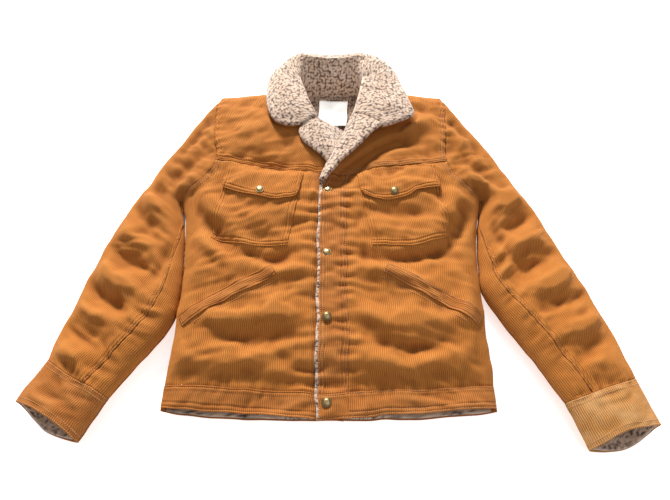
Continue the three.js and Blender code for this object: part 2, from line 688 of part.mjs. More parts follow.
for (const sign of [-1, 1]) {
  const name = names[sign];
  const place = new THREE.Group();
  place.position.set(sign * POCKET_X, POCKET_Y, 0);
  place.rotation.z = sign * radians(POCKET_TILT);
  jacket.add(place);
  pocketPlaces[name] = place;
  const put = (part, geometry, look, z) => {
    const mesh = new THREE.Mesh(geometry, look);
    mesh.name = `${name}_${part}`;
    mesh.position.z = z;
    place.add(mesh);
  };
  const room = slab(pocketOutline(POCKET_WIDTH - 2 * POCKET_SEAM, POCKET_HEIGHT - 2 * POCKET_SEAM, 6),
    POCKET_ROOM + 1).translate(0, POCKET_SEAM, -1);
  const patch = slab(pocketOutline(POCKET_WIDTH, POCKET_HEIGHT, 8), POCKET_ROOM + POCKET_WALL);
  const hole = punch(0, FLAP_SNAP_Y, SHANK_RADIUS + SNAP_CLEARANCE);
  put('chest_pocket', cut(patch, [room, hole]), corduroyTrim, POCKET_BASE);
  put('pocket_flap', cut(slab(flapOutline(), FLAP), [hole]), corduroyTrim, FLAP_BASE);
  const fasten = (part, geometry, z) => put(part, geometry.translate(0, FLAP_SNAP_Y, 0), brass, z);
  fasten('flap_snap_cap', snapCap(FLAP), FLAP_BASE + FLAP + 0.3);
  fasten('flap_snap_socket', snapSocket(SOCKET_HEIGHT - 0.8), FLAP_BASE - 0.3);
  fasten('flap_snap_stud', snapStud(FLAP_LIFT - 0.3 - 1.5 + KNOB_REACH, POCKET_WALL), POCKET_TOP + 0.3);
}

// ---- Hand-pocket welts and bags ----

for (const sign of [-1, 1]) {
  const name = names[sign];
  const inner = [sign * WELT_X, WELT_Y];
  const angle = radians(WELT_SLOPE);
  const way = [sign * Math.cos(angle), -Math.sin(angle)];
  const across = [sign * Math.sin(angle), Math.cos(angle)];
  const rows = span(0, WELT_STEPS).map((i) => [-1, 0, 1].map((side) => inner.map((value, k) =>
    value + way[k] * WELT_LENGTH * i / WELT_STEPS + across[k] * side * WELT_WIDTH / 2)));
  add(`${name}_hand_pocket_welt`, sheet(rows, ([x, y]) => {
    const low = frontHeight(x, y, 0) + WELT_LIFT;
    return [[x, y, low + WELT], [x, y, low]];
  }), corduroyTrim);
  const flatX = SIDE_WIDTH / 2 - FOLD_RADIUS - 4;
  const bag = [[[sign * BAG.x, BAG.bottom], [sign * flatX, BAG.bottom]],
    [[sign * BAG.x, BAG.inner], [sign * flatX, BAG.outer]]];
  add(`${name}_hand_pocket_bag`, sheet(bag, frontFace(SHELL + GAP, SHELL + BAG_SPACE - GAP)),
    bagCloth);
}

// ---- Front snaps ----

SNAP_Y.forEach((y, i) => {
  const top = frontHeight(SNAP_X, y, 0);
  const tag = ['top', 'upper', 'lower', 'waistband'][i];
  const put = (part, geometry, z) => {
    add(`${tag}_snap_${part}`, geometry, brass).position.set(SNAP_X, y, z);
  };
  put('cap', snapCap(PLACKET), top + 0.6);
  put('socket', snapSocket(SOCKET_HEIGHT), top - PLACKET - GAP - 0.3);
  const socketFoot = PLACKET + GAP + 0.3 + SOCKET_HEIGHT;
  const knob = PLACKET_DIP - 0.5 - socketFoot + KNOB_REACH;
  put('stud', snapStud(knob, PLACKET), top - PLACKET_DIP + 0.5);
});

// ---- Collar, lapels and label ----

// Height of whatever lies under the collar: the jacket, or beyond the shoulder the slope down
function collarBed(x, y) {
  const beyond = ramp(y, NECK_POINT_Y - 15, NECK_POINT_Y + 75);
  return Math.max(frontHeight(x, y, 0) * (y < NECK_POINT_Y ? 1 : 0), mix(BODY_LOFT - 4, 8, beyond));
}

function layer(low, high) {
  return ([x, y]) => [[x, y, collarBed(x, y) + high], [x, y, collarBed(x, y) + low]];
}

for (const sign of [-1, 1]) {
  const name = names[sign];
  const back = [sign * NECK_WIDTH / 2, WING_BACK_Y];
  const { root, reach, slant } = WINGS[name];
  const length = Math.hypot(back[0] - root[0], back[1] - root[1]);
  const along = root.map((value, i) => (back[i] - value) / length);
  const out = [sign * Math.abs(along[1]), -Math.abs(along[0]) ];
  const rows = reach.map((wide, i) => {
    const t = i / (reach.length - 1);
    const foot = root.map((value, k) => value + along[k] * length * t);
    return [0, 0.25, 0.5, 0.75, 1].map((u) => foot.map((value, k) =>
      value + out[k] * wide * u - along[k] * slant[i] * u));
  });
  add(`${name}_undercollar`, sheet(rows, layer(COLLAR_LIFT, COLLAR_LIFT + UNDERCOLLAR)), corduroy);
  const low = COLLAR_LIFT + UNDERCOLLAR + GAP;
  add(`${name}_collar_wing`, sheet(rows, layer(low, low + COLLAR_FLEECE)), fleece);
}

// The back of the collar fans out from the neck seam: it leans up to the fold, then drops
// behind to the table, or at its ends lies over the shoulders beside the wings.
{
  const columnsAcross = 10;
  const rows = COLLAR_TURN.map(([up, down, height]) => span(0, columnsAcross).map((i) => {
    const side = 2 * i / columnsAcross - 1;
    const square = side * side;
    const turn = radians(FAN_ANGLE * side);
    const out = up * mix(STAND_LEAN, 8, square) + down * mix(FALL_DROP_Y, 60, square);
    const x = side * (NECK_WIDTH / 2 - 1) + out * Math.sin(turn);
    const y = NECK_POINT_Y + 3 - 6 * (1 - square) + out * Math.cos(turn);
    const resting = collarBed(x, y) + COLLAR_LIFT;
    const z = down > 0 ? mix(height, resting, square) : height;
    return [x, y, z];
  }));
  const face = (from, to) => ([x, y, z]) => [[x, y, z + to], [x, y, z + from]];
  add('back_undercollar', sheet(rows, face(0, UNDERCOLLAR)), corduroy);
  add('back_collar', sheet(rows, face(UNDERCOLLAR + GAP, UNDERCOLLAR + GAP + FLEECE)), fleece);
}

{
  const { foot, top, growth, lean, fall } = LAPEL_WIDTH;
  const left = span(0, LAPEL_ROWS).map((i) => {
    const t = i / LAPEL_ROWS;
    const wide = mix(foot, top, Math.min(1, growth * t));
    const [x, y] = mixPoint(LAPEL_FOLD.foot, LAPEL_FOLD.top, t);
    return [0, 0.5, 1].map((u) => [x + wide * lean * u, y - wide * fall * u]);
  });
  add('left_lapel', sheet(left, layer(LAPEL_LIFT, LAPEL_LIFT + COLLAR_FLEECE)), fleece);
  add('right_lapel', sheet(RIGHT_LAPEL, layer(LAPEL_LIFT, LAPEL_LIFT + FLEECE)), fleece);
  const flat = ({ x: [x0, x1], y: [y0, y1] }) => sheet([0, 0.5, 1].map((t) => [0, 0.5, 1].map(
    (u) => [mix(x0, x1, u), mix(y0, y1, t)])), ([x, y]) => {
    const low = backHeight(x, y, BACK_INNER) + LABEL_LIFT;
    return [[x, y, low + LABEL], [x, y, low]];
  });
  add('neck_label', flat(NECK_LABEL), labelCloth);
  add('size_tab', flat(SIZE_TAB), labelCloth);
}

// The origin goes under the middle of the jacket, on the table
const box = new THREE.Box3().setFromObject(jacket);
const middle = box.getCenter(new THREE.Vector3());
const part = new THREE.Group();
part.add(jacket);
jacket.position.set(-middle.x, -middle.y, -box.min.z);
part.updateMatrixWorld(true);

export default part;
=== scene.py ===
# %% [markdown]
# # A fleece-lined corduroy trucker jacket, laid flat
# The jacket lies on its back with the front snapped shut. The frame gives the middle of the
# hem, and the plan below repeats the part's own sizes in millimetres from there, with +X to
# the wearer's left and +Y up to the collar. Every layer of cloth is a closed sheet of real
# thickness that follows that plan.

# %% Frame and units
import math
import bpy
import numpy as np
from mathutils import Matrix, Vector


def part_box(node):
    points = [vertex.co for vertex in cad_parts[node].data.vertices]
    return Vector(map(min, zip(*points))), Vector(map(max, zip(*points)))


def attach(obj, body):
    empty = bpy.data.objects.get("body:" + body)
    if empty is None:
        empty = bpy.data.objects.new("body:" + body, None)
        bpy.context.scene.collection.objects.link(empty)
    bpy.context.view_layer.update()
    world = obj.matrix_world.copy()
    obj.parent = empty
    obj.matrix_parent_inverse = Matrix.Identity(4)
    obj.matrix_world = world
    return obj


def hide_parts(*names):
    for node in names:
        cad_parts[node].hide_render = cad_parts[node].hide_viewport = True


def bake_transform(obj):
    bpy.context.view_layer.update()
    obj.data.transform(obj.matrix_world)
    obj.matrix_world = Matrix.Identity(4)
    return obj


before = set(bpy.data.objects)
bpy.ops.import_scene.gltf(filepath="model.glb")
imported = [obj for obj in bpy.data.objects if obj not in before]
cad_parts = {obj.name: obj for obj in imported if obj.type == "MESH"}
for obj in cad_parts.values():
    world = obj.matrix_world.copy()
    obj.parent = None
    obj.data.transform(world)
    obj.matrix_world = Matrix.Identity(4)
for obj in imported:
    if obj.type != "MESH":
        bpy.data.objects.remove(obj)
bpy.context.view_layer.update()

MM = 0.001
band_low, band_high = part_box("back_waistband")
HEM_MIDDLE = np.array([(band_low.x + band_high.x) / 2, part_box("right_waistband")[0].y, 0]) / MM


def place(points):
    """Garment millimetres to frame metres."""
    return (np.asarray(points, float) + HEM_MIDDLE) * MM


# %% [markdown]
# ## The plan
# These are the sizes of the part: the side line, the armhole, the two arms and the height of
# each layer over the table. A lying sleeve or body is a flat tube: its edge is a fold at
# 22 mm, and the cloth rounds up from it over the first 50 mm.

# %% Sizes of the part, in millimetres
NECK_Y, NECK_X = 645, 61
TIP_X, TIP_Y = 222, 623
UNDERARM_X, UNDERARM_Y = 270, 382
HEM_RISE, WAISTBAND, LOFT_Y = 14, 38, 110
YOKE_Y, YOKE_RISE, BACK_YOKE_Y, BREAK_Y = 430, 25, 500, 400
BODY_LOFT, HEM_LOFT, SLEEVE_LOFT, FOLD_Z, FOLD_R = 56, 42, 46, 22, 50
SLEEVE_BLEND = 80
FRONT_EDGE, OVERLAP, PLACKET = -18, 38, 46
# The right front dips by DIP to pass under the left one.
DIP = 8.8
CUFF_WIDTH, CUFF_LENGTH = 120, 72
HEM_WIDTH, WAIST_IN, UNDERARM_OUT = 508, 4, 36
SLEEVE_TOUCHES_Y = (310, 245)
SIDES = ((-1, "right"), (1, "left"))
ARMS = {
    -1: dict(reach=575, angle=22.7, cuff=28.5, bulge=30, crotch=164),
    1: dict(reach=612, angle=24.2, cuff=17.9, bulge=26, crotch=209),
}


def ramp(t, a, b):
    return np.clip((np.asarray(t, float) - a) / (b - a), 0, 1)


def ease(t, a=0.0, b=1.0):
    t = ramp(t, a, b)
    return t * t * (3 - 2 * t)


def lengths(line):
    return np.concatenate([[0], np.cumsum(np.linalg.norm(np.diff(line, axis=0), axis=1))])


def at_length(line, where):
    """Points at those distances along a polyline."""
    s = lengths(line)
    return np.stack([np.interp(where, s, line[:, k]) for k in range(line.shape[1])], -1)


def smooth_line(points, step=4.0):
    """A centripetal Catmull-Rom curve through the points, at even steps."""
    p = np.array(points, float)
    p = np.vstack([2 * p[0] - p[1], p, 2 * p[-1] - p[-2]])
    out = []
    for a, b, c, d in zip(p, p[1:], p[2:], p[3:]):
        t1 = np.linalg.norm(b - a) ** 0.5
        t2 = t1 + np.linalg.norm(c - b) ** 0.5
        t3 = t2 + np.linalg.norm(d - c) ** 0.5
        t = np.linspace(t1, t2, 24, endpoint=False)[:, None]
        ab = (t1 - t) / t1 * a + t / t1 * b
        bc = (t2 - t) / (t2 - t1) * b + (t - t1) / (t2 - t1) * c
        cd = (t3 - t) / (t3 - t2) * c + (t - t2) / (t3 - t2) * d
        abc = (t2 - t) / t2 * ab + t / t2 * bc
        bcd = (t3 - t) / (t3 - t1) * bc + (t - t1) / (t3 - t1) * cd
        out.append((t2 - t) / (t2 - t1) * abc + (t - t1) / (t2 - t1) * bcd)
    line = np.vstack(out + [p[-2:-1]])
    total = lengths(line)[-1]
    return at_length(line, np.linspace(0, total, max(2, int(total / step) + 1)))


# %% Side lines, armholes and arms
def side_x(y):
    low = ramp(y, HEM_RISE, UNDERARM_Y * 0.45)
    high = ramp(y, UNDERARM_Y * 0.6, UNDERARM_Y)
    return (HEM_WIDTH - WAIST_IN * low + UNDERARM_OUT * high * high) / 2


def side_line(sign):
    y = np.arange(HEM_RISE, UNDERARM_Y + 1, 4.0)
    return np.stack([sign * side_x(y), y], -1)


def armhole(sign):
    waist = TIP_X - 9
    return smooth_line([
        (sign * TIP_X, TIP_Y), (sign * (waist + 7), (TIP_Y + YOKE_Y + YOKE_RISE) / 2),
        (sign * waist, YOKE_Y + YOKE_RISE),
        (sign * (waist + 14), (YOKE_Y + YOKE_RISE + UNDERARM_Y) / 2),
        (sign * UNDERARM_X, UNDERARM_Y)], 2.0)


def arm_lines(sign):
    arm = ARMS[sign]

    def way(degrees):
        return np.array([sign * math.sin(math.radians(degrees)), -math.cos(math.radians(degrees))])

    tip = np.array([sign * TIP_X, TIP_Y], float)
    cuff = way(arm["cuff"])
    across = np.array([sign * cuff[1], -sign * cuff[0]])
    outer_end = tip + arm["reach"] * way(arm["angle"])
    inner_end = outer_end + CUFF_WIDTH * across
    lean = math.radians(arm["angle"])
    out = np.array([sign * math.cos(lean), math.sin(lean)])
    control = (tip + outer_end) / 2 + 2 * arm["bulge"] * out
    t = np.linspace(0, 1, 90)[:, None]
    outer = (1 - t) ** 2 * tip + 2 * t * (1 - t) * control + t * t * outer_end
    contact = [(sign * (side_x(y) + (3 if y == UNDERARM_Y else 2)), y)
               for y in (UNDERARM_Y, *SLEEVE_TOUCHES_Y, arm["crotch"])]
    inner = smooth_line(contact + [tuple(inner_end)], 3.0)
    return dict(outer=outer, inner=inner, cuff=cuff, outer_end=outer_end, inner_end=inner_end)


ARM_LINES = {sign: arm_lines(sign) for sign in ARMS}
FOLDS = []
for sign, lines in ARM_LINES.items():
    ends = [lines[k] + CUFF_LENGTH * lines["cuff"] for k in ("outer_end", "inner_end")]
    FOLDS += [np.array([(sign * NECK_X, NECK_Y), (sign * TIP_X, TIP_Y)]),
              np.vstack([lines["outer"][::3], lines["outer_end"], ends[0]]),
              side_line(sign)[::2], np.vstack([lines["inner"][::3], lines["inner_end"], ends[1]])]
print("fold lines:", len(FOLDS))


# %% Height of each layer over the table
def distance_to(lines, x, y):
    """Least plan distance from each point to any of the polylines."""
    a = np.vstack([line[:-1] for line in lines])
    b = np.vstack([line[1:] for line in lines])
    x, y = np.asarray(x, float), np.asarray(y, float)
    flat = np.stack([x.ravel(), y.ravel()], -1)
    span = b - a
    square = (span ** 2).sum(1) + 1e-9
    out = np.empty(len(flat))
    for i in range(0, len(flat), 20000):
        p = flat[i:i + 20000, None, :] - a
        t = np.clip((p * span).sum(2) / square, 0, 1)
        out[i:i + 20000] = np.sqrt(((p - t[..., None] * span) ** 2).sum(2).min(1))
    return out.reshape(x.shape)


def loft(x, y):
    body = HEM_LOFT + (BODY_LOFT - HEM_LOFT) * ease(y, WAISTBAND + 4, LOFT_Y)
    return body + (SLEEVE_LOFT - body) * ramp(np.abs(x), TIP_X, TIP_X + SLEEVE_BLEND)


def round_over(d):
    return np.sqrt(1 - (1 - ramp(d, 0, FOLD_R)) ** 2)


def front_z(x, y, depth=0.0, d=None):
    d = distance_to(FOLDS, x, y) if d is None else d
    return FOLD_Z + 0.2 + (loft(x, y) - depth - FOLD_Z) * round_over(d - depth)


def back_z(x, y, depth=0.0, d=None):
    d = distance_to(FOLDS, x, y) if d is None else d
    return FOLD_Z - 0.2 - (FOLD_Z - depth - 0.2) * round_over(d - depth)


def on_front(x, y, over=0.0):
    """Points on the smooth front, or that far over it."""
    return np.stack([x, y, front_z(x, y) + over], -1)


# %% [markdown]
# ## Wrinkles
# Worn corduroy over thick fleece never lies smooth. One map of wrinkles, drawn over the whole
# plan, is made of four things: broad folds laid where arms, collar and pockets pull
# the cloth, a cloth simulation of a slightly oversized skin held at its seams, long drag lines
# of loose cloth, and small puckers along the stitching. Every piece on the front takes its
# rise from this one map, so pockets, welts and stitches stay on the cloth they are sewn to.

# %% Smooth random fields, the same on every run
GRID = 3.0
MAP_X = np.arange(-540, 541, GRID)
MAP_Y = np.arange(-60, 761, GRID)
GX, GY = np.meshgrid(MAP_X, MAP_Y)


def noise(x, y, size, seed):
    """Smooth random values from -1 to 1, with features of that size."""
    rng = np.random.default_rng(seed)
    table = rng.uniform(-1, 1, (97, 97))
    u, v = np.asarray(x, float) / size, np.asarray(y, float) / size
    i, j = np.floor(u).astype(int), np.floor(v).astype(int)
    fu, fv = u - i, v - j
    fu, fv = fu * fu * (3 - 2 * fu), fv * fv * (3 - 2 * fv)

    def cell(a, b):
        return table[a % 97, b % 97]

    low = cell(i, j) * (1 - fu) + cell(i + 1, j) * fu
    high = cell(i, j + 1) * (1 - fu) + cell(i + 1, j + 1) * fu
    return low * (1 - fv) + high * fv


def read_grid(field, u, v):
    """Values of a grid between its points, at those column and row places."""
    u = np.clip(u, 0, field.shape[1] - 1.001)
    v = np.clip(v, 0, field.shape[0] - 1.001)
    i, j = u.astype(int), v.astype(int)
    fu, fv = u - i, v - j
    low = field[j, i] * (1 - fu) + field[j, i + 1] * fu
    high = field[j + 1, i] * (1 - fu) + field[j + 1, i + 1] * fu
    return low * (1 - fv) + high * fv


def sample(field, x, y):
    """Reads a map at any plan points."""
    return read_grid(field, (np.asarray(x, float) - MAP_X[0]) / GRID,
                     (np.asarray(y, float) - MAP_Y[0]) / GRID)


def blur(field, times):
    for _ in range(times):
        p = np.pad(field, 1, mode="edge")
        field = (p[1:-1, 1:-1] * 4 + p[:-2, 1:-1] + p[2:, 1:-1] + p[1:-1, :-2] + p[1:-1, 2:]) / 8
    return field


# %% Folds, listed one by one: points, height (negative for a hollow), half width
FOLD_STROKES = [
    # yokes: the hollows under the collar and the drag lines from the neck
    ([(-150, 452), (-105, 446), (-60, 450)], -6, 15),
    ([(-60, 520), (-75, 490), (-70, 462)], -5, 22),
    ([(-205, 560), (-160, 565), (-120, 556)], 4, 18), ([(-195, 590), (-150, 588)], -3, 14),
    ([(-110, 500), (-150, 515), (-190, 500)], 4, 22),
    ([(10, 418), (52, 458), (104, 496), (165, 512)], -13, 20),
    ([(60, 440), (110, 466), (160, 478)], 4, 12), ([(70, 448), (120, 466), (190, 470)], -4, 12),
    ([(120, 560), (165, 545), (200, 515)], 5, 18), ([(130, 590), (190, 570)], -4, 16),
    ([(-6, 412), (16, 432), (40, 452)], -8, 18),
    # wearer's right panel
    ([(-235, 400), (-200, 350), (-160, 300), (-130, 268)], 5, 16),
    ([(-240, 365), (-205, 315), (-170, 280)], -5, 13),
    ([(-225, 300), (-190, 265), (-160, 245)], 4, 12),
    ([(-60, 262), (-100, 255), (-150, 268)], -6, 10),
    ([(-40, 240), (-80, 232), (-120, 240)], 4, 10),
    ([(-35, 345), (-60, 340), (-75, 350)], 3, 8),
    ([(-190, 130), (-120, 118), (-60, 130)], -5, 13),
    ([(-210, 160), (-150, 150), (-90, 165), (-40, 150)], 4, 13),
    ([(-230, 90), (-170, 80), (-110, 92)], 4, 12),
    ([(-90, 95), (-45, 85)], -4, 10), ([(-60, 205), (-90, 180), (-70, 150)], 4, 14),
    # wearer's left panel
    ([(235, 400), (205, 350), (180, 300)], 5, 16), ([(245, 350), (215, 300), (190, 262)], -5, 13),
    ([(40, 268), (90, 256), (160, 262), (200, 280)], -6, 10),
    ([(50, 238), (100, 232), (150, 215)], 4, 11),
    ([(40, 180), (80, 150), (130, 140)], 5, 14), ([(60, 120), (120, 105), (200, 118)], -5, 12),
    ([(120, 160), (180, 150), (225, 165)], 4, 13), ([(45, 90), (110, 76), (170, 84)], 4, 11),
    ([(215, 230), (225, 180), (215, 130)], 4, 14), ([(38, 330), (60, 325)], -4, 9),
    # pockets
    ([(-175, 372), (-130, 352), (-95, 362)], -3, 12), ([(-150, 330), (-110, 318)], 3, 14),
    ([(85, 350), (130, 335), (165, 350)], -3, 12), ([(75, 320), (120, 312)], 3, 12),
    # right sleeve, from the shoulder to the cuff
    ([(-225, 560), (-262, 520), (-285, 470)], -5, 14),
    ([(-245, 590), (-285, 545), (-315, 480)], 4, 14),
    ([(-232, 480), (-270, 440), (-300, 400)], -5, 13),
    ([(-232, 440), (-262, 400), (-280, 350)], 5, 13),
    ([(-345, 430), (-320, 380), (-285, 345)], 5, 13),
    ([(-360, 390), (-335, 345), (-300, 312)], -5, 12),
    ([(-375, 350), (-345, 305), (-300, 280)], 5, 13),
    ([(-390, 300), (-355, 262), (-300, 240)], -6, 11),
    ([(-400, 268), (-362, 228), (-310, 205)], 6, 12),
    ([(-415, 235), (-375, 195), (-330, 175)], -6, 11),
    ([(-262, 300), (-280, 255), (-300, 215)], -4, 11),
    ([(-425, 200), (-385, 165), (-345, 150)], 5, 12),
    ([(-435, 160), (-400, 130), (-360, 118)], -4, 11),
    ([(-445, 130), (-410, 100), (-372, 92)], 4, 10),
    # left sleeve
    ([(225, 560), (262, 515), (285, 465)], -5, 14), ([(240, 595), (285, 540), (318, 480)], 4, 14),
    ([(235, 470), (275, 430), (310, 400)], -5, 13), ([(250, 430), (285, 395), (330, 370)], 5, 13),
    ([(355, 420), (320, 380), (285, 350)], 5, 12), ([(375, 370), (335, 335), (292, 310)], -6, 12),
    ([(390, 335), (350, 300), (300, 275)], 5, 12), ([(405, 290), (365, 262), (315, 235)], -5, 11),
    ([(415, 255), (380, 225), (330, 205)], 6, 12), ([(440, 215), (400, 190), (350, 172)], -6, 11),
    ([(455, 180), (415, 150), (370, 135)], 5, 11), ([(465, 140), (425, 118), (385, 105)], -4, 10),
    ([(470, 115), (435, 88), (395, 80)], 4, 10), ([(280, 330), (300, 280), (325, 235)], -4, 11),
]


def stroke(points, height, width):
    line = smooth_line(points, 6.0)
    d = distance_to([line], GX, GY)
    ends = np.minimum(np.hypot(GX - line[0, 0], GY - line[0, 1]),
                      np.hypot(GX - line[-1, 0], GY - line[-1, 1]))
    return height * np.exp(-(d / width) ** 2) * (0.35 + 0.65 * ease(ends, 0, 2.2 * width))


folds_by_hand = sum(stroke(*one) for one in FOLD_STROKES)
print("folds by hand:", len(FOLD_STROKES))


# %% [markdown]
# The skin is simulated once, flat, over the plan of the whole front. It is 5 per cent too big
# for the outline that holds it, which is what quilting cloth to fleece does to the top layer,
# so it buckles into small soft creases between its seams.

# %% Cloth simulation of the oversized skin
def inside(polygon, x, y):
    hit = np.zeros(x.shape, bool)
    for (ax, ay), (bx, by) in zip(polygon, np.roll(polygon, -1, axis=0)):
        crosses = (ay > y) != (by > y)
        slope = (bx - ax) * (y - ay) / (by - ay + 1e-12) + ax
        hit ^= crosses & (x < slope)
    return hit


def body_outline():
    left, right = side_line(1), side_line(-1)
    return np.vstack([left, armhole(1)[::-1], [(NECK_X, NECK_Y), (-NECK_X, NECK_Y)], armhole(-1),
                      right[::-1]])


def arm_outline(sign):
    lines = ARM_LINES[sign]
    move = CUFF_LENGTH * lines["cuff"]
    return np.vstack([lines["outer"], lines["outer_end"] + move, lines["inner_end"] + move,
                      lines["inner"][::-1], armhole(sign)[::-1]])


SEAMS = [armhole(-1), armhole(1)]
for sign in ARMS:
    SEAMS.append(np.array([(sign * 20.0, YOKE_Y), (sign * 213.0, YOKE_Y + YOKE_RISE)]))
    SEAMS.append(np.array([(sign * 20.0, WAISTBAND), (sign * 253.0, WAISTBAND + HEM_RISE)]))
    lines = ARM_LINES[sign]
    SEAMS.append(np.array([lines["outer_end"], lines["inner_end"]]))
for x in (FRONT_EDGE, FRONT_EDGE + PLACKET):
    SEAMS.append(np.array([(x, 0.0), (x, YOKE_Y)]))


def simulated_skin():
    step = 8.0
    xs, ys = np.arange(-516, 517, step), np.arange(-24, 660, step)
    sx, sy = np.meshgrid(xs, ys)
    keep = inside(body_outline(), sx, sy) | inside(arm_outline(-1), sx, sy)
    keep |= inside(arm_outline(1), sx, sy)
    index = np.full(sx.shape, -1)
    index[keep] = np.arange(keep.sum())
    start = 0.8 * noise(sx, sy, 18, 5) + 0.6 * noise(sx, sy, 9, 6)
    points = np.stack([sx[keep], sy[keep], start[keep]], -1) * MM
    corner = np.stack([index[:-1, :-1], index[:-1, 1:], index[1:, 1:], index[1:, :-1]], -1)
    faces = corner.reshape(-1, 4)
    faces = faces[(faces >= 0).all(1)]
    mesh = bpy.data.meshes.new("oversized_skin")
    mesh.from_pydata(points.tolist(), [], faces.tolist())
    skin = bpy.data.objects.new("oversized_skin", mesh)
    bpy.context.scene.collection.objects.link(skin)
    held = distance_to(FOLDS + SEAMS, sx[keep], sy[keep])
    group = skin.vertex_groups.new(name="held")
    for i, d in enumerate(held):
        if d < 9:
            group.add([i], 1.0 if d < 5 else 0.6, "REPLACE")
    cloth = skin.modifiers.new("cloth", "CLOTH")
    setting = cloth.settings
    setting.quality = 5
    setting.mass = 0.3
    setting.tension_stiffness = setting.compression_stiffness = 25
    setting.shear_stiffness = 10
    setting.bending_stiffness = 0.6
    setting.shrink_min = setting.shrink_max = -0.05
    setting.vertex_group_mass = "held"
    setting.effector_weights.gravity = 0
    scene = bpy.context.scene
    cloth.point_cache.frame_start, cloth.point_cache.frame_end = 1, 22
    for at in range(1, 23):
        scene.frame_set(at)
    settled = skin.evaluated_get(bpy.context.evaluated_depsgraph_get()).data
    z = np.array([v.co.z for v in settled.vertices]) / MM
    scene.frame_set(1)
    bpy.data.objects.remove(skin)
    bpy.data.meshes.remove(mesh)
    field = np.zeros(sx.shape)
    field[keep] = np.clip(z, -9, 9)
    return read_grid(field, (GX - xs[0]) / step, (GY - ys[0]) / step)


skin_map = blur(simulated_skin(), 2)
print("skin buckles, mm:", round(float(skin_map.min()), 1), round(float(skin_map.max()), 1))


# %% Puckers along the stitching
def puckers(line, reach, height, wave, seed):
    """Short ripples across a seam, like gathered cloth."""
    line = smooth_line(line, 5.0)
    s = lengths(line)
    near = np.argmin([np.hypot(GX - px, GY - py) for px, py in line], axis=0)
    d = distance_to([line], GX, GY)
    phase = s[near] / wave * 2 * math.pi + 2.6 * noise(GX, GY, 1.7 * wave, seed)
    strength = 0.55 + 0.45 * noise(GX, GY, 3 * wave, seed + 1)
    return height * strength * np.sin(phase) * np.exp(-(d / reach) ** 1.5)


pucker_map = (
    puckers([(-30, 40), (-30, 200), (-30, 395)], 32, 2.6, 21, 11)
    + puckers([(31, 40), (31, 200), (31, 400)], 28, 2.6, 19, 13)
    + puckers([(6, 40), (6, 200), (6, 380)], 20, 1.8, 23, 15)
    + puckers([(-250, 50), (-150, 42), (-30, 38)], 16, 1.2, 17, 17)
    + puckers([(30, 38), (150, 42), (250, 50)], 16, 1.2, 17, 19)
    + puckers([(-213, 455), (-120, 437), (-20, 430)], 12, 1.0, 19, 21)
    + puckers([(20, 430), (120, 437), (213, 455)], 14, 1.2, 19, 23))
for sign in ARMS:
    lines = ARM_LINES[sign]
    pucker_map += puckers(armhole(sign)[::8], 16, 1.4, 17, 25 + sign)
    pucker_map += puckers([lines["outer_end"], lines["inner_end"]], 16, 1.5, 14, 29 + sign)

edge_fade = ease(distance_to(FOLDS, GX, GY), 0, 34)

# %% [markdown]
# Loose cloth drags in lines: nearly level across the body, with fewer steep ones between, and
# slanting down to the inner seam on each arm, where the sleeve turns in towards the cuff.

# %% Drag lines
def drags(degrees, length, width, seed):
    """Long soft ridges along one direction, bent by a second field."""
    c, s = math.cos(math.radians(degrees)), math.sin(math.radians(degrees))
    along, over = GX * c + GY * s, GY * c - GX * s
    over = over + 1.3 * width * noise(GX, GY, 1.3 * length, seed + 1)
    ridge = noise(along * width / length, over, width, seed)
    return 0.6 - 2 * np.abs(ridge)


# height, share of the nearly level ones, length, width
BODY_DRAGS = ((1.5, 0.75, 120, 28), (1.7, 0.65, 64, 15), (0.9, 0.5, 34, 9))


def body_drags(lean, seed):
    return sum(height * (level * drags(lean * 14, long, wide, seed + k)
                         + (1 - level) * drags(lean * 60, 0.7 * long, wide, seed + 10 + k))
               for k, (height, level, long, wide) in enumerate(BODY_DRAGS))


def arm_drags(sign):
    return (1.7 * drags(sign * 36, 84, 26, 71 + sign) + 1.9 * drags(sign * 30, 48, 14, 75 + sign)
            + 0.8 * drags(sign * 44, 30, 9, 79 + sign))


right_arm, left_arm = (blur(inside(arm_outline(sign), GX, GY).astype(float), 6) for sign in ARMS)
trunk = np.clip(1 - right_arm - left_arm, 0, 1)
to_left = ease(GX, -60, 60)
loose = (trunk * (body_drags(1, 31) * (1 - to_left) + body_drags(-1, 51) * to_left)
         + right_arm * arm_drags(-1) + left_arm * arm_drags(1))

# %% The whole map, pressed down where the collar lies on it
HAND, SKIN, LOOSE, PUCKER = 1.9, 0.45, 1.45, 1.5
RISE = (HAND * folds_by_hand + SKIN * skin_map + LOOSE * loose) * edge_fade + PUCKER * pucker_map
UNDER_COLLAR = np.array([
    (-132, 652), (-130, 600), (-124, 562), (-106, 532), (-80, 522), (-62, 515), (-40, 476),
    (-18, 458), (-8, 424), (10, 430), (30, 448), (52, 470), (70, 490), (98, 512), (128, 524),
    (164, 544), (160, 576), (150, 610), (142, 655)], float)
beneath = blur(inside(UNDER_COLLAR, GX, GY).astype(float), 3)
pressed = np.minimum(RISE * 0.6, -3.5 - 7.5 * ease(GX, -10, 30))
LOWEST, HIGHEST = -19, 9
RISE = np.clip(blur(RISE * (1 - beneath) + pressed * beneath, 1), LOWEST, HIGHEST)
# How far the seams stray in the plan, the creases under the back, and the hollows that get painted
# shade on the corduroy
SWAY_X = 2.4 * noise(GX, GY, 42, 41) + 1.1 * noise(GX, GY, 19, 42)
SWAY_Y = 1.5 * noise(GX, GY, 46, 43) + 0.7 * noise(GX, GY, 21, 44)
UNDER = 1.6 * ramp(noise(GX, GY, 55, 45), 0.1, 1) * edge_fade
HOLLOWS = np.clip(blur(RISE, 24) - RISE, -4, 4)
print("front wrinkles, mm:", round(float(RISE.min()), 1), round(float(RISE.max()), 1))


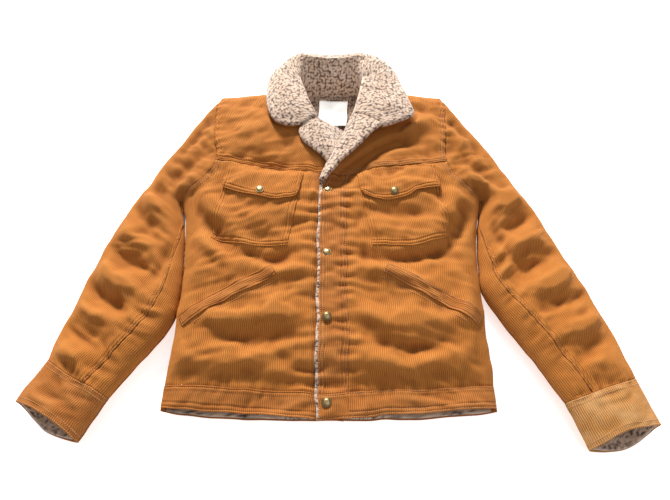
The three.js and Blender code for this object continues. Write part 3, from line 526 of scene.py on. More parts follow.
def settle(points):
    """Moves points in the plan with the wrinkles: fully at the front, not at the table."""
    p = np.array(points, float)
    x, y, z = p[..., 0], p[..., 1], p[..., 2]
    up = ease(z, 12, 46)
    below = (1 - up) * ease(z, -1, 3)
    p[..., 2] = z + up * sample(RISE, x, y) + below * sample(UNDER, x, y)
    p[..., 0] = x + sample(SWAY_X, x, y)
    p[..., 1] = y + sample(SWAY_Y, x, y)
    return p


# %% [markdown]
# ## Making cloth
# Each layer starts as a sheet of points through the middle of the cloth. The helper thickens
# it to both sides, rounds its open edges and stores the cloth's own lengthwise and crosswise
# measure as UVs, so wales run as they were woven however the piece lies.

# %% Helper: spacing that is fine at edges and folds
EDGE = np.array([0, 0.35, 0.8, 1.4, 2.1, 3.0, 4.1, 5.5, 7.2, 9.2])
SEAM = np.concatenate([EDGE[:5], np.arange(2.8, 15.5, 0.9)])
TURN = FOLD_R * (1 - np.cos(np.radians(np.arange(0, 91, 5.0))))
NONE = np.array([0.0])


def spread(length, step, start=EDGE, end=EDGE):
    """Distances from 0 to length, with the given fine starts and ends."""
    length = np.asarray(length, float)
    room = np.max(length) - start[-1] - end[-1]
    count = max(2, int(round(room / step)))
    middle = np.linspace(0, 1, count + 1)[1:-1]
    tight = np.minimum(1, 0.92 * length / (start[-1] + end[-1] + 1e-9))[..., None]
    a, b = start * tight, length[..., None] - end[::-1] * tight
    mid = a[..., -1:] + (b[..., :1] - a[..., -1:]) * middle
    return np.concatenate([a, mid, b], -1)


def ruled(a, b, step, start=EDGE, end=EDGE):
    """Rows of points from line a to line b."""
    a, b = np.asarray(a, float), np.asarray(b, float)
    width = np.linalg.norm(b - a, axis=-1)
    d = spread(width, step, start, end) / np.maximum(width, 1e-6)[:, None]
    return a[:, None, :] + (b - a)[:, None, :] * d[..., None]


# %% How thick each cloth is, in millimetres, and the size and height of its curls
SHELL, BAND, DOUBLED, PATCH, WELT, CUFF, TWILL = 2.0, 2.4, 3.0, 1.8, 2.2, 2.6, 0.9
FACING, TUBE_LINING, BACK_LINING, FRONT_LINING = 4.6, 5.0, 5.6, 5.4
COLLAR, STAND_THICK, LEFT_LAPEL_THICK, RIGHT_LAPEL_THICK = 8.0, 7.0, 7.0, 6.0
UNDERCOLLAR, LAPEL_BACK, SATIN = 1.6, 1.4, 0.7
COLLAR_CURL, COLLAR_NAP, LAPEL_CURL, LAPEL_NAP = 5.6, 2.7, 5.4, 2.5


# %% Helper: a closed sheet of cloth from its middle surface
def normals(p, ring=False):
    if ring:
        wide = np.concatenate([p[:, -2:-1], p, p[:, 1:2]], 1)
        du = (wide[:, 2:] - wide[:, :-2])
    else:
        du = np.gradient(p, axis=1)
    dv = np.gradient(p, axis=0)
    n = np.cross(du, dv)
    return n / np.maximum(np.linalg.norm(n, axis=-1, keepdims=True), 1e-9)


def measure(p, axis):
    step = np.linalg.norm(np.diff(p, axis=axis), axis=-1)
    zero = np.zeros_like(np.take(step, [0], axis=axis))
    return np.concatenate([zero, np.cumsum(step, axis=axis)], axis)


def from_border(p, side):
    """Distances from one border: a first row, b last row, c first column, d last column."""
    s = measure(p, 0 if side in "ab" else 1)
    return s if side in "ac" else (s[-1:] - s if side == "b" else s[:, -1:] - s)


def make_mesh(name, vertices, faces, uv=None, facts=None, smooth=True):
    mesh = bpy.data.meshes.new(name)
    vertices = place(vertices)
    mesh.vertices.add(len(vertices))
    mesh.vertices.foreach_set("co", vertices.ravel())
    sizes = np.array([len(f) for f in faces]) if isinstance(faces, list) else np.full(
        len(faces), faces.shape[1])
    loops = np.concatenate([np.asarray(f) for f in faces]) if isinstance(faces, list) else (
        faces.ravel())
    mesh.loops.add(len(loops))
    mesh.loops.foreach_set("vertex_index", loops.astype(np.int32))
    mesh.polygons.add(len(sizes))
    starts = np.concatenate([[0], np.cumsum(sizes)[:-1]])
    mesh.polygons.foreach_set("loop_start", starts.astype(np.int32))
    mesh.polygons.foreach_set("use_smooth", np.full(len(sizes), smooth))
    mesh.update(calc_edges=True)
    if uv is not None:
        layer = mesh.uv_layers.new(name="cloth")
        layer.data.foreach_set("uv", (np.asarray(uv)[loops] * 0.01).ravel().astype(np.float32))
    for fact, values in (facts or {}).items():
        attribute = mesh.attributes.new(fact, "FLOAT", "POINT")
        attribute.data.foreach_set("value", np.asarray(values, np.float32).ravel())
    mesh.validate()
    obj = bpy.data.objects.new(name, mesh)
    bpy.context.scene.collection.objects.link(obj)
    return obj


MADE = []


def finish_piece(obj, look, body, nodes, bend=None):
    obj.data.materials.append(look)
    if nodes:
        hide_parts(*nodes)
    if bend:
        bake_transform(obj)
    else:
        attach(obj, body)
    MADE.append(obj)
    return obj


def cloth(name, middle, thick, look, slot, body, nodes=(), rounded="abcd", bend=None, ring=False,
          nap=None, nap_height=0.0, edge=None, uv=None, under_nap=False, swap=False):
    """middle: rows of points. rounded: the borders that close in a round edge, named as in
    from_border. nap: relief from 0 to 1 that stands out of the face. Returns that face."""
    p = np.asarray(middle, float)
    n = normals(p, ring) * (-1.0 if swap else 1.0)
    across, along = measure(p, 1), measure(p, 0)
    border = np.full(p.shape[:2], 1e3)
    for side in rounded:
        border = np.minimum(border, from_border(p, side))
    radius = edge or thick / 2
    half = thick / 2 * np.sqrt(np.clip(1 - (1 - ramp(border, 0, radius)) ** 2, 0.02, 1))
    relief = np.zeros(p.shape[:2]) if nap is None else nap
    fade = np.sqrt(ramp(border, 0, radius)) * 0.7 + 0.3
    outer = p + n * (half + nap_height * relief * fade)[..., None]
    inner = p - n * (half + (nap_height * relief * fade if under_nap else 0))[..., None]
    rows, cols = p.shape[:2]
    n_cols = cols - 1 if ring else cols
    outer, inner, relief = outer[:, :n_cols], inner[:, :n_cols], relief[:, :n_cols]
    base = np.arange(rows * n_cols).reshape(rows, n_cols)
    closed = np.concatenate([base, base[:, :1]], 1) if ring else base
    size = rows * n_cols
    q = np.stack([closed[:-1, :-1], closed[:-1, 1:], closed[1:, 1:], closed[1:, :-1]], -1)
    q = q.reshape(-1, 4)
    top, low = (q[:, ::-1], q + size) if swap else (q, q[:, ::-1] + size)

    def rim(line, turn):
        a, b = line[:-1], line[1:]
        strip = np.stack([a, a + size, b + size, b], -1)
        return strip[:, ::-1] if turn != swap else strip

    rims = [rim(closed[0], False), rim(closed[-1], True)]
    if not ring:
        rims += [rim(closed[:, 0], True), rim(closed[:, -1], False)]
    faces = np.concatenate([top, low] + rims)
    if uv is None:
        half_way = along[:, cols // 2:cols // 2 + 1]
        uv = np.stack([across, np.broadcast_to(half_way, across.shape)], -1)
    uv = uv[:, :n_cols].reshape(-1, 2)
    x, y = p[:, :n_cols, 0], p[:, :n_cols, 1]
    hollow = sample(HOLLOWS, x, y) * ease(p[:, :n_cols, 2], 20, 44)
    facts = {"nap": np.tile(relief.ravel(), 2), "hollow": np.tile(hollow.ravel(), 2)}
    obj = make_mesh(name, np.concatenate([outer.reshape(-1, 3), inner.reshape(-1, 3)]), faces,
                    np.concatenate([uv, uv]), facts)
    finish_piece(obj, look, body, nodes, bend)
    return outer if not ring else np.concatenate([outer, outer[:, :1]], 1)


# %% [markdown]
# ## Fleece pile
# Sherpa is a knitted pile that has been tumbled into small curls about 4 to 6 mm across. Each
# curl is a real bump: the sheet's points stand out over scattered, slightly squashed domes.

# %% Helper: relief of curls on a cloth measured in millimetres
def curls(u, v, size, seed):
    rng = np.random.default_rng(seed)
    table = rng.uniform(0, 1, (64, 64, 4))
    ci, cj = np.floor(u / size).astype(int), np.floor(v / size).astype(int)
    best = np.zeros(np.shape(u))
    for di in (-1, 0, 1):
        for dj in (-1, 0, 1):
            i, j = ci + di, cj + dj
            r = table[i % 64, j % 64]
            cx, cy = (i + 0.15 + 0.7 * r[..., 0]) * size, (j + 0.15 + 0.7 * r[..., 1]) * size
            angle = r[..., 2] * math.pi
            dx, dy = u - cx, v - cy
            a = dx * np.cos(angle) + dy * np.sin(angle)
            b = -dx * np.sin(angle) + dy * np.cos(angle)
            reach = size * (0.62 + 0.22 * r[..., 3])
            d = (a / reach) ** 2 + (b / (0.68 * reach)) ** 2
            best = np.maximum(best, np.sqrt(np.clip(1 - d, 0, 1)) * (0.7 + 0.3 * r[..., 3]))
    return best


def pile(middle, size, seed):
    u, v = measure(middle, 1), measure(middle, 0)
    u = u - u[:, u.shape[1] // 2:u.shape[1] // 2 + 1]
    v = v - v[v.shape[0] // 2:v.shape[0] // 2 + 1]
    u = u + 0.25 * size * noise(u, v, 1.6 * size, seed + 1)
    return curls(u + 900, v + 900, size, seed)


# %% [markdown]
# ## Finishes
# The cloth is cotton corduroy, woven and cut into soft ridges. The real wales are about
# 2.5 mm; they are drawn at 3.1 mm, which is as fine as this view can show. Cut pile scatters
# light like velvet, so it gets sheen and no gloss. The fleece is polyester pile, the snaps are
# plated brass, dulled in their hollows, and the thread is tan spun polyester.

# %% Helpers: colour from hex, and one node
def linear(code):
    parts = [int(code[i:i + 2], 16) / 255 for i in (1, 3, 5)]
    return tuple(c / 12.92 if c <= 0.04045 else ((c + 0.055) / 1.055) ** 2.4 for c in parts) + (1,)


def node(tree, kind, settings=None, **inputs):
    """Adds a node, with its settings, values and links."""
    made = tree.nodes.new(kind)
    for key, value in (settings or {}).items():
        setattr(made, key, value)
    for key, value in inputs.items():
        socket = made.inputs[int(key[1:])] if key[0] == "i" and key[1:].isdigit() else (
            made.inputs[key.replace("_", " ")])
        if isinstance(value, bpy.types.NodeSocket):
            tree.links.new(value, socket)
        else:
            socket.default_value = value
    return made


def new_material(name, **shader):
    material = bpy.data.materials.new(name)
    material.use_nodes = True
    tree = material.node_tree
    surface = tree.nodes["Principled BSDF"]
    for key, value in shader.items():
        surface.inputs[key.replace("_", " ")].default_value = value
    return material, tree, surface


# %% Helpers: the nodes that the finishes share
def fact(tree, name):
    return node(tree, "ShaderNodeAttribute", dict(attribute_name=name)).outputs["Fac"]


def cloth_uv(tree):
    return node(tree, "ShaderNodeUVMap", dict(uv_map="cloth")).outputs[0]


def speckle(tree, where, scale, detail, roughness=0.5):
    return node(tree, "ShaderNodeTexNoise", Vector=where, Scale=scale, Detail=detail,
                Roughness=roughness).outputs[0]


def maths(tree, operation, *values, clamp=False):
    return node(tree, "ShaderNodeMath", dict(operation=operation, use_clamp=clamp),
                **{f"i{k}": value for k, value in enumerate(values)}).outputs[0]


def mapped(tree, value, low, high, **to):
    """From 0 at low to 1 at high, or between the given ends."""
    return node(tree, "ShaderNodeMapRange", Value=value, From_Min=low, From_Max=high,
                **to).outputs[0]


def mixed(tree, share, first, second, blend="MIX"):
    """Two colours mixed, each one a hex code or another node's colour."""
    pair = [linear(c) if isinstance(c, str) else c for c in (first, second)]
    return node(tree, "ShaderNodeMix", dict(data_type="RGBA", blend_type=blend), Factor=share,
                i6=pair[0], i7=pair[1]).outputs[2]


def finish_with(tree, surface, colour, relief=None, strength=0.0, depth=0.0):
    tree.links.new(colour, surface.inputs["Base Color"])
    if relief:
        bump = node(tree, "ShaderNodeBump", Strength=strength, Distance=depth, Height=relief)
        tree.links.new(bump.outputs[0], surface.inputs["Normal"])


# %% Cotton corduroy
WALE = 3.1


def corduroy(name, ground_and_groove_shade, ridge, worn, wear=0.35):
    material, tree, surface = new_material(
        name, Roughness=0.88, Sheen_Weight=0.35, Sheen_Roughness=0.45,
        Sheen_Tint=linear("#cf8a45"), Specular_IOR_Level=0.25)
    uv = cloth_uv(tree)
    crosswise = node(tree, "ShaderNodeSeparateXYZ", i0=uv).outputs[0]
    drift = maths(tree, "MULTIPLY_ADD", speckle(tree, uv, 2.2, 2.0), 0.06, crosswise)
    turns = maths(tree, "MULTIPLY", drift, 2 * math.pi * 100 / WALE)
    wales = mapped(tree, maths(tree, "SINE", turns), -0.95, 0.35)
    fuzz = speckle(tree, uv, 95.0, 3.0, 0.7)
    patches = mapped(tree, speckle(tree, uv, 1.6, 4.0, 0.62), 0.42, 0.75)
    hollow = fact(tree, "hollow")
    # Worn colour in patches, which is real wear, and painted light on the crests of the wrinkles.
    ridges = maths(tree, "MULTIPLY", mapped(tree, hollow, 0.4, -3.2), 0.35)
    wear_and_crest_light = maths(tree, "MULTIPLY_ADD", patches, wear, ridges)
    faded_and_crest_lit = maths(tree, "MULTIPLY", wear_and_crest_light, fuzz, clamp=True)
    # The wales run from the groove colour, the ground weave's own tone with painted groove shade,
    # to the crest colour.
    colour = mixed(tree, faded_and_crest_lit, mixed(tree, wales, ground_and_groove_shade, ridge), worn)
    # Painted shade: the cloth is darkened towards #8a6a58 in its hollows.
    hollow_shade = mapped(tree, hollow, 0.3, 4.0, To_Max=0.62)
    relief = maths(tree, "MULTIPLY_ADD", fuzz, 0.5, wales)
    shaded = mixed(tree, hollow_shade, colour, "#8a6a58", "MULTIPLY")
    finish_with(tree, surface, shaded, relief, 0.7, 0.0009)
    return material


body_corduroy = corduroy("corduroy_golden_brown", "#8e5521", "#b66f2c", "#d0924d")
trim_corduroy = corduroy("corduroy_trim_worn", "#854e1e", "#ac672c", "#cf9455", 0.5)
cuff_corduroy = corduroy("corduroy_cuff_faded", "#8a5927", "#b98247", "#dcb888", 0.95)


# %% Curly pile fleece, thread, lining cloth and label
def pile_fleece(name, crevice_shade, tip):
    material, tree, surface = new_material(
        name, Roughness=0.95, Sheen_Weight=0.5, Sheen_Roughness=0.6, Specular_IOR_Level=0.2)
    uv = cloth_uv(tree)
    fibres = speckle(tree, uv, 70.0, 4.0, 0.75)
    height = maths(tree, "MULTIPLY_ADD", fibres, 0.45, fact(tree, "nap"))
    # Painted shade: dark between the curls, rising to the cream colour on the curl tops.
    colour = mixed(tree, mapped(tree, height, 0.3, 1.1), crevice_shade, tip)
    warm = mixed(tree, speckle(tree, uv, 3.5, 2.0), colour, "#e3cdbb", "MULTIPLY")
    finish_with(tree, surface, warm, fibres, 0.8, 0.0012)
    return material


collar_fleece = pile_fleece("cream_pile_fleece", "#4d3322", "#dfcab8")
lining_fleece = pile_fleece("lining_pile_fleece", "#4c3424", "#cdb39c")
# A brighter copy of the cream fleece: painted light on the shaded inside of the collar stand.
stand_fleece_painted_light = pile_fleece("collar_stand_pile_fleece_painted_light", "#75533c", "#f6dfca")


def woven(name, warp, weft, threads, **shader):
    material, tree, surface = new_material(name, **shader)
    uv = cloth_uv(tree)
    grid = node(tree, "ShaderNodeTexChecker", Vector=uv, Scale=threads * 100.0,
                Color1=linear(warp), Color2=linear(weft))
    colour = mixed(tree, speckle(tree, uv, 6.0, 3.0), grid.outputs[0], warp)
    finish_with(tree, surface, colour, grid.outputs[1], 0.25, 0.0003)
    return material


label_satin = woven("label_white_satin", "#fbfbfa", "#e4e7ea", 0.9, Roughness=0.45,
                    Sheen_Weight=0.2)
bag_twill = woven("pocketing_brown_twill", "#6d4f35", "#5a3f29", 0.8, Roughness=0.9)


def spun_thread():
    material, tree, surface = new_material("thread_tan_spun_polyester", Roughness=0.6,
                                           Sheen_Weight=0.15)
    where = node(tree, "ShaderNodeNewGeometry").outputs["Position"]
    finish_with(tree, surface, mixed(tree, speckle(tree, where, 60.0, 2.0), "#9c6634", "#cf9a66"))
    return material


def aged_brass():
    material, tree, surface = new_material("brass_antiqued", Metallic=1.0)
    where = node(tree, "ShaderNodeNewGeometry").outputs["Position"]
    stain = speckle(tree, where, 420.0, 4.0, 0.7)
    shine = maths(tree, "MULTIPLY_ADD", stain, 0.5, fact(tree, "nap"), clamp=True)
    finish_with(tree, surface, mixed(tree, shine, "#4a3a26", "#d8bc88"))
    rough = mapped(tree, shine, 0.0, 1.0, To_Min=0.55, To_Max=0.26)
    tree.links.new(rough, surface.inputs["Roughness"])
    return material


thread = spun_thread()
brass = aged_brass()
print("finishes:", len(bpy.data.materials))


# %% [markdown]
# ## Stitching
# Topstitching is lockstitch in thick thread, 3.6 mm to a stitch. Each stitch is a small
# rounded piece of thread that dips into the cloth at its ends. They are gathered by the body
# that carries them and made into one mesh for each.

# %% Helper: rows of stitches on a finished face
STITCH_PITCH, STITCH_LENGTH, STITCH_WIDTH = 3.6, 2.9, 1.2
stitches = {}


def border_line(face, side, inset, start=0.0, end=0.0):
    """The line that runs that far in from one border of a face (rows of points)."""
    f = face if side in "ab" else np.swapaxes(face, 0, 1)
    if side in "bd":
        f = f[::-1]
    s = measure(f, 0)
    line = np.empty((f.shape[1], 3))
    for j in range(f.shape[1]):
        for k in range(3):
            line[j, k] = np.interp(inset, s[:, j], f[:, j, k])
    total = lengths(line)[-1]
    count = max(3, int(total / 2))
    return at_length(line, np.linspace(start, total - end, count))


def sew(group, line, lift=0.15, up=None):
    line = np.asarray(line, float)
    total = lengths(line)[-1]
    at = np.arange(0, total - STITCH_LENGTH, STITCH_PITCH)
    a, b = at_length(line, at), at_length(line, at + STITCH_LENGTH)
    up = np.array([0, 0, 1.0]) if up is None else up
    stitches.setdefault(group, []).append((a, b, np.broadcast_to(up, a.shape), lift))


def rim_lines(group, face, sides, insets, **ends):
    for side in sides:
        for inset in insets:
            sew(group, border_line(face, side, inset, **ends))


def make_stitches(name, group, body, bend=None):
    vertices, faces = [], []
    for a, b, up, lift in stitches.get(group, []):
        along = b - a
        size = np.linalg.norm(along, axis=1, keepdims=True)
        along = along / np.maximum(size, 1e-6)
        side = np.cross(along, up)
        side /= np.maximum(np.linalg.norm(side, axis=1, keepdims=True), 1e-6)
        top = np.cross(side, along)
        ring = []
        for share, wide in ((0.18, 0.8), (0.5, 1.0), (0.82, 0.8)):
            middle = a + (b - a) * share + top * (lift if share != 0.5 else lift + 0.2)
            for dx, dz in ((-1, 0), (0, 0.75), (1, 0), (0, -0.75)):
                ring.append(middle + (side * dx + top * dz) * STITCH_WIDTH / 2 * wide)
        block = np.stack([a - top * 0.35] + ring + [b - top * 0.35], 1)
        first = sum(len(v) for v in vertices)
        vertices.append(block.reshape(-1, 3))
        start = first + np.arange(len(a))[:, None] * 14
        for k in range(4):
            m = (k + 1) % 4
            faces.append(start + [0, 1 + k, 1 + m, 1 + m])
            for row in (1, 5):
                faces.append(start + [row + k, row + 4 + k, row + 4 + m, row + m])
            faces.append(start + [9 + m, 9 + k, 13, 13])
    quads = np.concatenate(faces)
    lists = [list(dict.fromkeys(q)) for q in quads.tolist()]
    obj = make_mesh(name, np.concatenate(vertices), lists)
    print(name, "faces:", len(obj.data.polygons))
    return finish_piece(obj, thread, body, (), bend)


# %% [markdown]
# ## Body fronts
# Each front is a panel, a yoke, a placket and a waistband, felled together. The seam's upper
# layer stands about a millimetre proud and is topstitched, and the lower layer is tucked under.

# %% The rows that run from a front edge out to the side or armhole
def outer_edge(sign):
    side, hole = side_line(sign), armhole(sign)[::-1]
    line = np.vstack([side, hole[1:]])
    side_length, total = lengths(side)[-1], lengths(line)[-1]
    to_yoke = int(np.argmin(np.abs(hole[:, 1] - (YOKE_Y + YOKE_RISE))))
    yoke_at = side_length + lengths(hole)[to_yoke]
    levels = [0, WAISTBAND, LOFT_Y, 180, 245, 310, 360, YOKE_Y, NECK_Y]
    reach = [0, 38, 105, 170, 231, 296, side_length, yoke_at, total]
    return line, levels, reach


OUTER = {sign: outer_edge(sign) for sign in ARMS}


def front_rows(sign, levels):
    """Inner and outer ends of the rows at those heights up the front edge."""
    line, knots, reach = OUTER[sign]
    edge = FRONT_EDGE if sign > 0 else FRONT_EDGE + OVERLAP
    x = edge + (sign * NECK_X - edge) * ramp(levels, BREAK_Y, NECK_Y)
    lift = 5 * (1 - ramp(levels, 0, 40))
    ends = at_length(line, np.interp(levels, knots, reach))
    ends[:, 1] += lift
    return np.stack([x, levels], -1), ends


def front_middle(sign, levels, d0, d1, depth=1.0, step=3.3, start=EDGE, end=EDGE):
    """Middle surface of a layer of one front, from d0 to d1 out from its edge."""
    a, b = front_rows(sign, np.asarray(levels, float))
    way = (b - a) / np.linalg.norm(b - a, axis=1, keepdims=True)
    p0 = a + way * d0
    p1 = b if d1 is None else a + way * d1
    p = ruled(p0, p1, step, start, end)
    x, y = p[..., 0], p[..., 1]
    if sign < 0:
        from_edge = np.linalg.norm(p - a[:, None, :], axis=-1)
        dip = DIP * (1 - ease(from_edge, OVERLAP - 4, PLACKET + 6)) * (1 - ease(y, 440, 500))
    else:
        dip = 0
    return np.dstack([x, y, front_z(x, y, depth) - dip])


def levels_between(y0, y1, step=3.4, start=EDGE, end=EDGE):
    return y0 + spread(np.array([y1 - y0]), step, start, end)[0]


GROOVE = 1.3
SINGLE, PAIR, WIDE_PAIR = (2.6,), (2.6, 9.0), (3.0, 9.5)
DOUBLE, TRIPLE = (2.4, 8.0), (2.4, 7.4, 13.0)


def felled(p, sides, height=0.9, insets=PAIR):
    """Raises a seam's upper layer along some borders, with a groove under each stitch row."""
    q = p.copy()
    for side in sides:
        d = from_border(p, side)
        rise = height * (1 - ease(d, insets[-1] + 1, insets[-1] + 6))
        for inset in insets:
            rise = rise - GROOVE * np.exp(-((d - inset) / GROOVE) ** 2)
        q[..., 2] += rise
    return q


def tucked(p, sides, depth=1.0, reach=5.0):
    """Lowers some borders, to pass under the seam's upper layer."""
    q = p.copy()
    for side in sides:
        q[..., 2] -= depth * (1 - ease(from_border(p, side), 0, reach))
    return q


# %% Panels, yokes and waistbands of both fronts
for sign, side in SIDES:
    panel = front_middle(sign, levels_between(WAISTBAND, YOKE_Y), PLACKET, None, end=TURN)
    panel = settle(tucked(panel, "ab"))
    cloth(f"{side}_front_panel_cloth", panel, SHELL, body_corduroy, "corduroy", "jacket",
          [f"{side}_front_panel"], rounded="abc")
    turn_up = np.concatenate([levels_between(YOKE_Y, NECK_Y - FOLD_R, start=SEAM, end=NONE)[:-1],
                              (NECK_Y - TURN)[::-1]])
    # the left yoke starts this far in from its front edge, so that the collar covers its border
    hidden = np.interp(turn_up, (440, 500, 556, 600, NECK_Y), (0, 13, 19, 15, 12))
    yoke = front_middle(sign, turn_up, hidden[:, None] * (sign > 0), None, end=SEAM)
    yoke = settle(felled(felled(yoke, "a", 1.0, TRIPLE), "d", 0.8, DOUBLE))
    face = cloth(f"{side}_front_yoke_cloth", yoke, SHELL, body_corduroy, "corduroy", "jacket",
                 [f"{side}_front_yoke"], rounded="acd")
    rim_lines("jacket", face, "a", TRIPLE)
    rim_lines("jacket", face, "d", DOUBLE, end=14)
    band = front_middle(sign, levels_between(0, WAISTBAND, 1.5), 0 if sign < 0 else PLACKET, None,
                        end=TURN)
    band = settle(felled(felled(band, "b", 1.2, SINGLE), "a", 0.3, PAIR))
    face = cloth(f"{side}_waistband_cloth", band, BAND, trim_corduroy, "corduroy_trim", "jacket",
                 [f"{side}_waistband"], rounded="abc")
    rim_lines("jacket", face, "b", SINGLE, end=6)
    rim_lines("jacket", face, "a", PAIR, end=6)
    print(side, "front:", [len(o.data.polygons) for o in MADE[-3:]])

# %% Armhole stitching on the panels, below the yokes
for sign, side in SIDES:
    hole = armhole(sign)[::-1]
    low = hole[(hole[:, 1] > UNDERARM_Y + 3) & (hole[:, 1] < YOKE_Y + YOKE_RISE)]
    for inset in DOUBLE:
        x, y = low[:, 0] - sign * inset, low[:, 1]
        sew("jacket", settle(on_front(x, y, 0.2)))

# %% [markdown]
# ## Placket and front edge
# The wearer's left front laps over the right one. Its placket is double cloth with two rows
# of stitches, and the fleece facing behind it shows as a pale line along the whole edge.

# %% Plackets, waistband end and the fleece facing
edge_levels = levels_between(WAISTBAND, YOKE_Y, 3.0)
placket = settle(felled(tucked(front_middle(1, edge_levels, 0, PLACKET, 1.5, 1.3), "ab", 0.6),
                        "cd", 0.5, WIDE_PAIR))
face = cloth("left_placket_cloth", placket, DOUBLED, trim_corduroy, "corduroy_trim", "front_edge",
             ["left_placket"], rounded="abcd")
rim_lines("front_edge", face, "c", WIDE_PAIR)
rim_lines("front_edge", face, "d", (3.0,))
band_end = settle(felled(front_middle(1, levels_between(0, WAISTBAND, 3.0), 0, PLACKET, 1.2, 3.0),
                         "ab", 0.9, SINGLE))
face = cloth("left_waistband_end_cloth", band_end, BAND, trim_corduroy, "corduroy_trim",
             "front_edge", ["left_waistband_end"], rounded="abcd")
rim_lines("front_edge", face, "abc", SINGLE)
under = settle(felled(front_middle(-1, edge_levels, 0, PLACKET, 1.5, 3.0), "cd", 0.4, (3.0,)))
cloth("right_placket_cloth", under, DOUBLED, trim_corduroy, "corduroy_trim", "jacket",
      ["right_placket"], rounded="abcd")
facing_levels = levels_between(1, YOKE_Y - 2, 1.4)
facing = front_middle(1, facing_levels, -3.6, PLACKET, 6.2, 1.5)
out = ease(-(facing[..., 0] - FRONT_EDGE), -2.5, 3.5)
top_open = ease(facing[..., 1], 375, 425)
facing[..., 2] += out * (4.2 + 2.5 * top_open)
facing[..., 0] += 2.0 * noise(facing[..., 0] * 0, facing[..., 1], 38, 51) * out
facing = settle(facing)
cloth("left_front_facing_fleece", facing, FACING, collar_fleece, "fleece", "front_edge",
      ["left_front_facing"], rounded="abcd", nap=pile(facing, 4.2, 52), nap_height=1.7, edge=2.6,
      under_nap=True)
print("placket and facing done")

# %% [markdown]
# ## Chest pockets
# A patch pocket sits on each front just under the yoke, edge-stitched round three sides, with
# a pointed flap that snaps over its mouth. The cloth bellies between its stitched sides.

# %% Pockets and flaps
POCKET_X, POCKET_Y, POCKET_TILT = 120, 435, math.radians(6.8)
FLAP_SHAPES = {
    -1: [(-1, 51), (-0.6, 57), (-0.1, 64), (0.35, 67), (0.75, 61), (1, 51)],
    1: [(-1, 47), (-0.65, 62), (-0.3, 68), (0.1, 65), (0.55, 53), (1, 51)],
}


def on_pocket(sign, u, v):
    """Plan points from a pocket's own across and down, in millimetres."""
    c, s = math.cos(sign * POCKET_TILT), math.sin(sign * POCKET_TILT)
    return sign * POCKET_X + u * c + v * s, POCKET_Y + u * s - v * c


def pocket_height(u, v):
    sides = 1 - (np.abs(u) / 70) ** 4
    ends = ease(v, 0, 16) * (1 - ease(v, 120, 152))
    return 0.9 + 3.6 * np.clip(sides, 0, 1) * ends


def flap_height(sign, u, v):
    lift = 3.2 * ease(v, 10, 46)
    curl = (3.2 * ease(u, 10, 66) if sign > 0 else 0.8 * ease(np.abs(u), 30, 70)) * ease(v, 20, 60)
    wave = 0.9 * noise(u + 300 * sign, v, 24, 61) * ease(v, 15, 55)
    return pocket_height(u, v) + 1.0 + lift + curl + wave


def patch(sign, width, length, narrowing, step, foot, height):
    """A pocket piece from its mouth down: foot gives how far down it reaches across its width."""
    w = (spread(np.array([width]), 3.0, SEAM, SEAM)[0] / (width / 2) - 1)[None, :]
    rows = spread(np.array([length]), step, end=SEAM)[0][:, None] / length
    u, v = w * (width / 2 - narrowing * rows), rows * foot(w)
    x, y = on_pocket(sign, u, v)
    return on_front(x, y, height(u, v))


def pocket_foot(w):
    return 148 + 9 * (1 - np.abs(w) ** 1.4)


def flap_foot(sign, w):
    drop = np.interp(w[0], *np.array(smooth_line(FLAP_SHAPES[sign], 0.5)).T)[None, :]
    return drop - 5 * ease(np.abs(w), 0.93, 1.0)


EDGE_STITCHED = (2.6, 8.6)
for sign, side in SIDES:
    middle = patch(sign, 140.0, 150.0, 3.5, 3.0, pocket_foot, pocket_height)
    middle = settle(felled(middle, "bcd", 0.2, EDGE_STITCHED))
    face = cloth(f"{side}_chest_pocket_cloth", middle, PATCH, body_corduroy, "corduroy_trim",
                 "jacket", [f"{side}_chest_pocket"], rounded="abcd")
    rim_lines("jacket", face, "bcd", EDGE_STITCHED)
    middle = patch(sign, 142.0, 62.0, 1.5, 2.6, lambda w: flap_foot(sign, w),
                   lambda u, v: flap_height(sign, u, v))
    middle = settle(felled(middle, "bcd", 0.35, EDGE_STITCHED))
    face = cloth(f"{side}_pocket_flap_cloth", middle, BAND, body_corduroy, "corduroy_trim",
                 f"{side}_flap", [f"{side}_pocket_flap"], rounded="abcd")
    rim_lines(f"{side}_flap", face, "bcd", EDGE_STITCHED)
print("pockets and flaps done")

# %% [markdown]
# ## Hand pockets
# Each slanted pocket mouth is finished by a welt, a folded strip with its wales along it and
# a row of stitches round it. Behind it hangs a flat bag of plain twill.

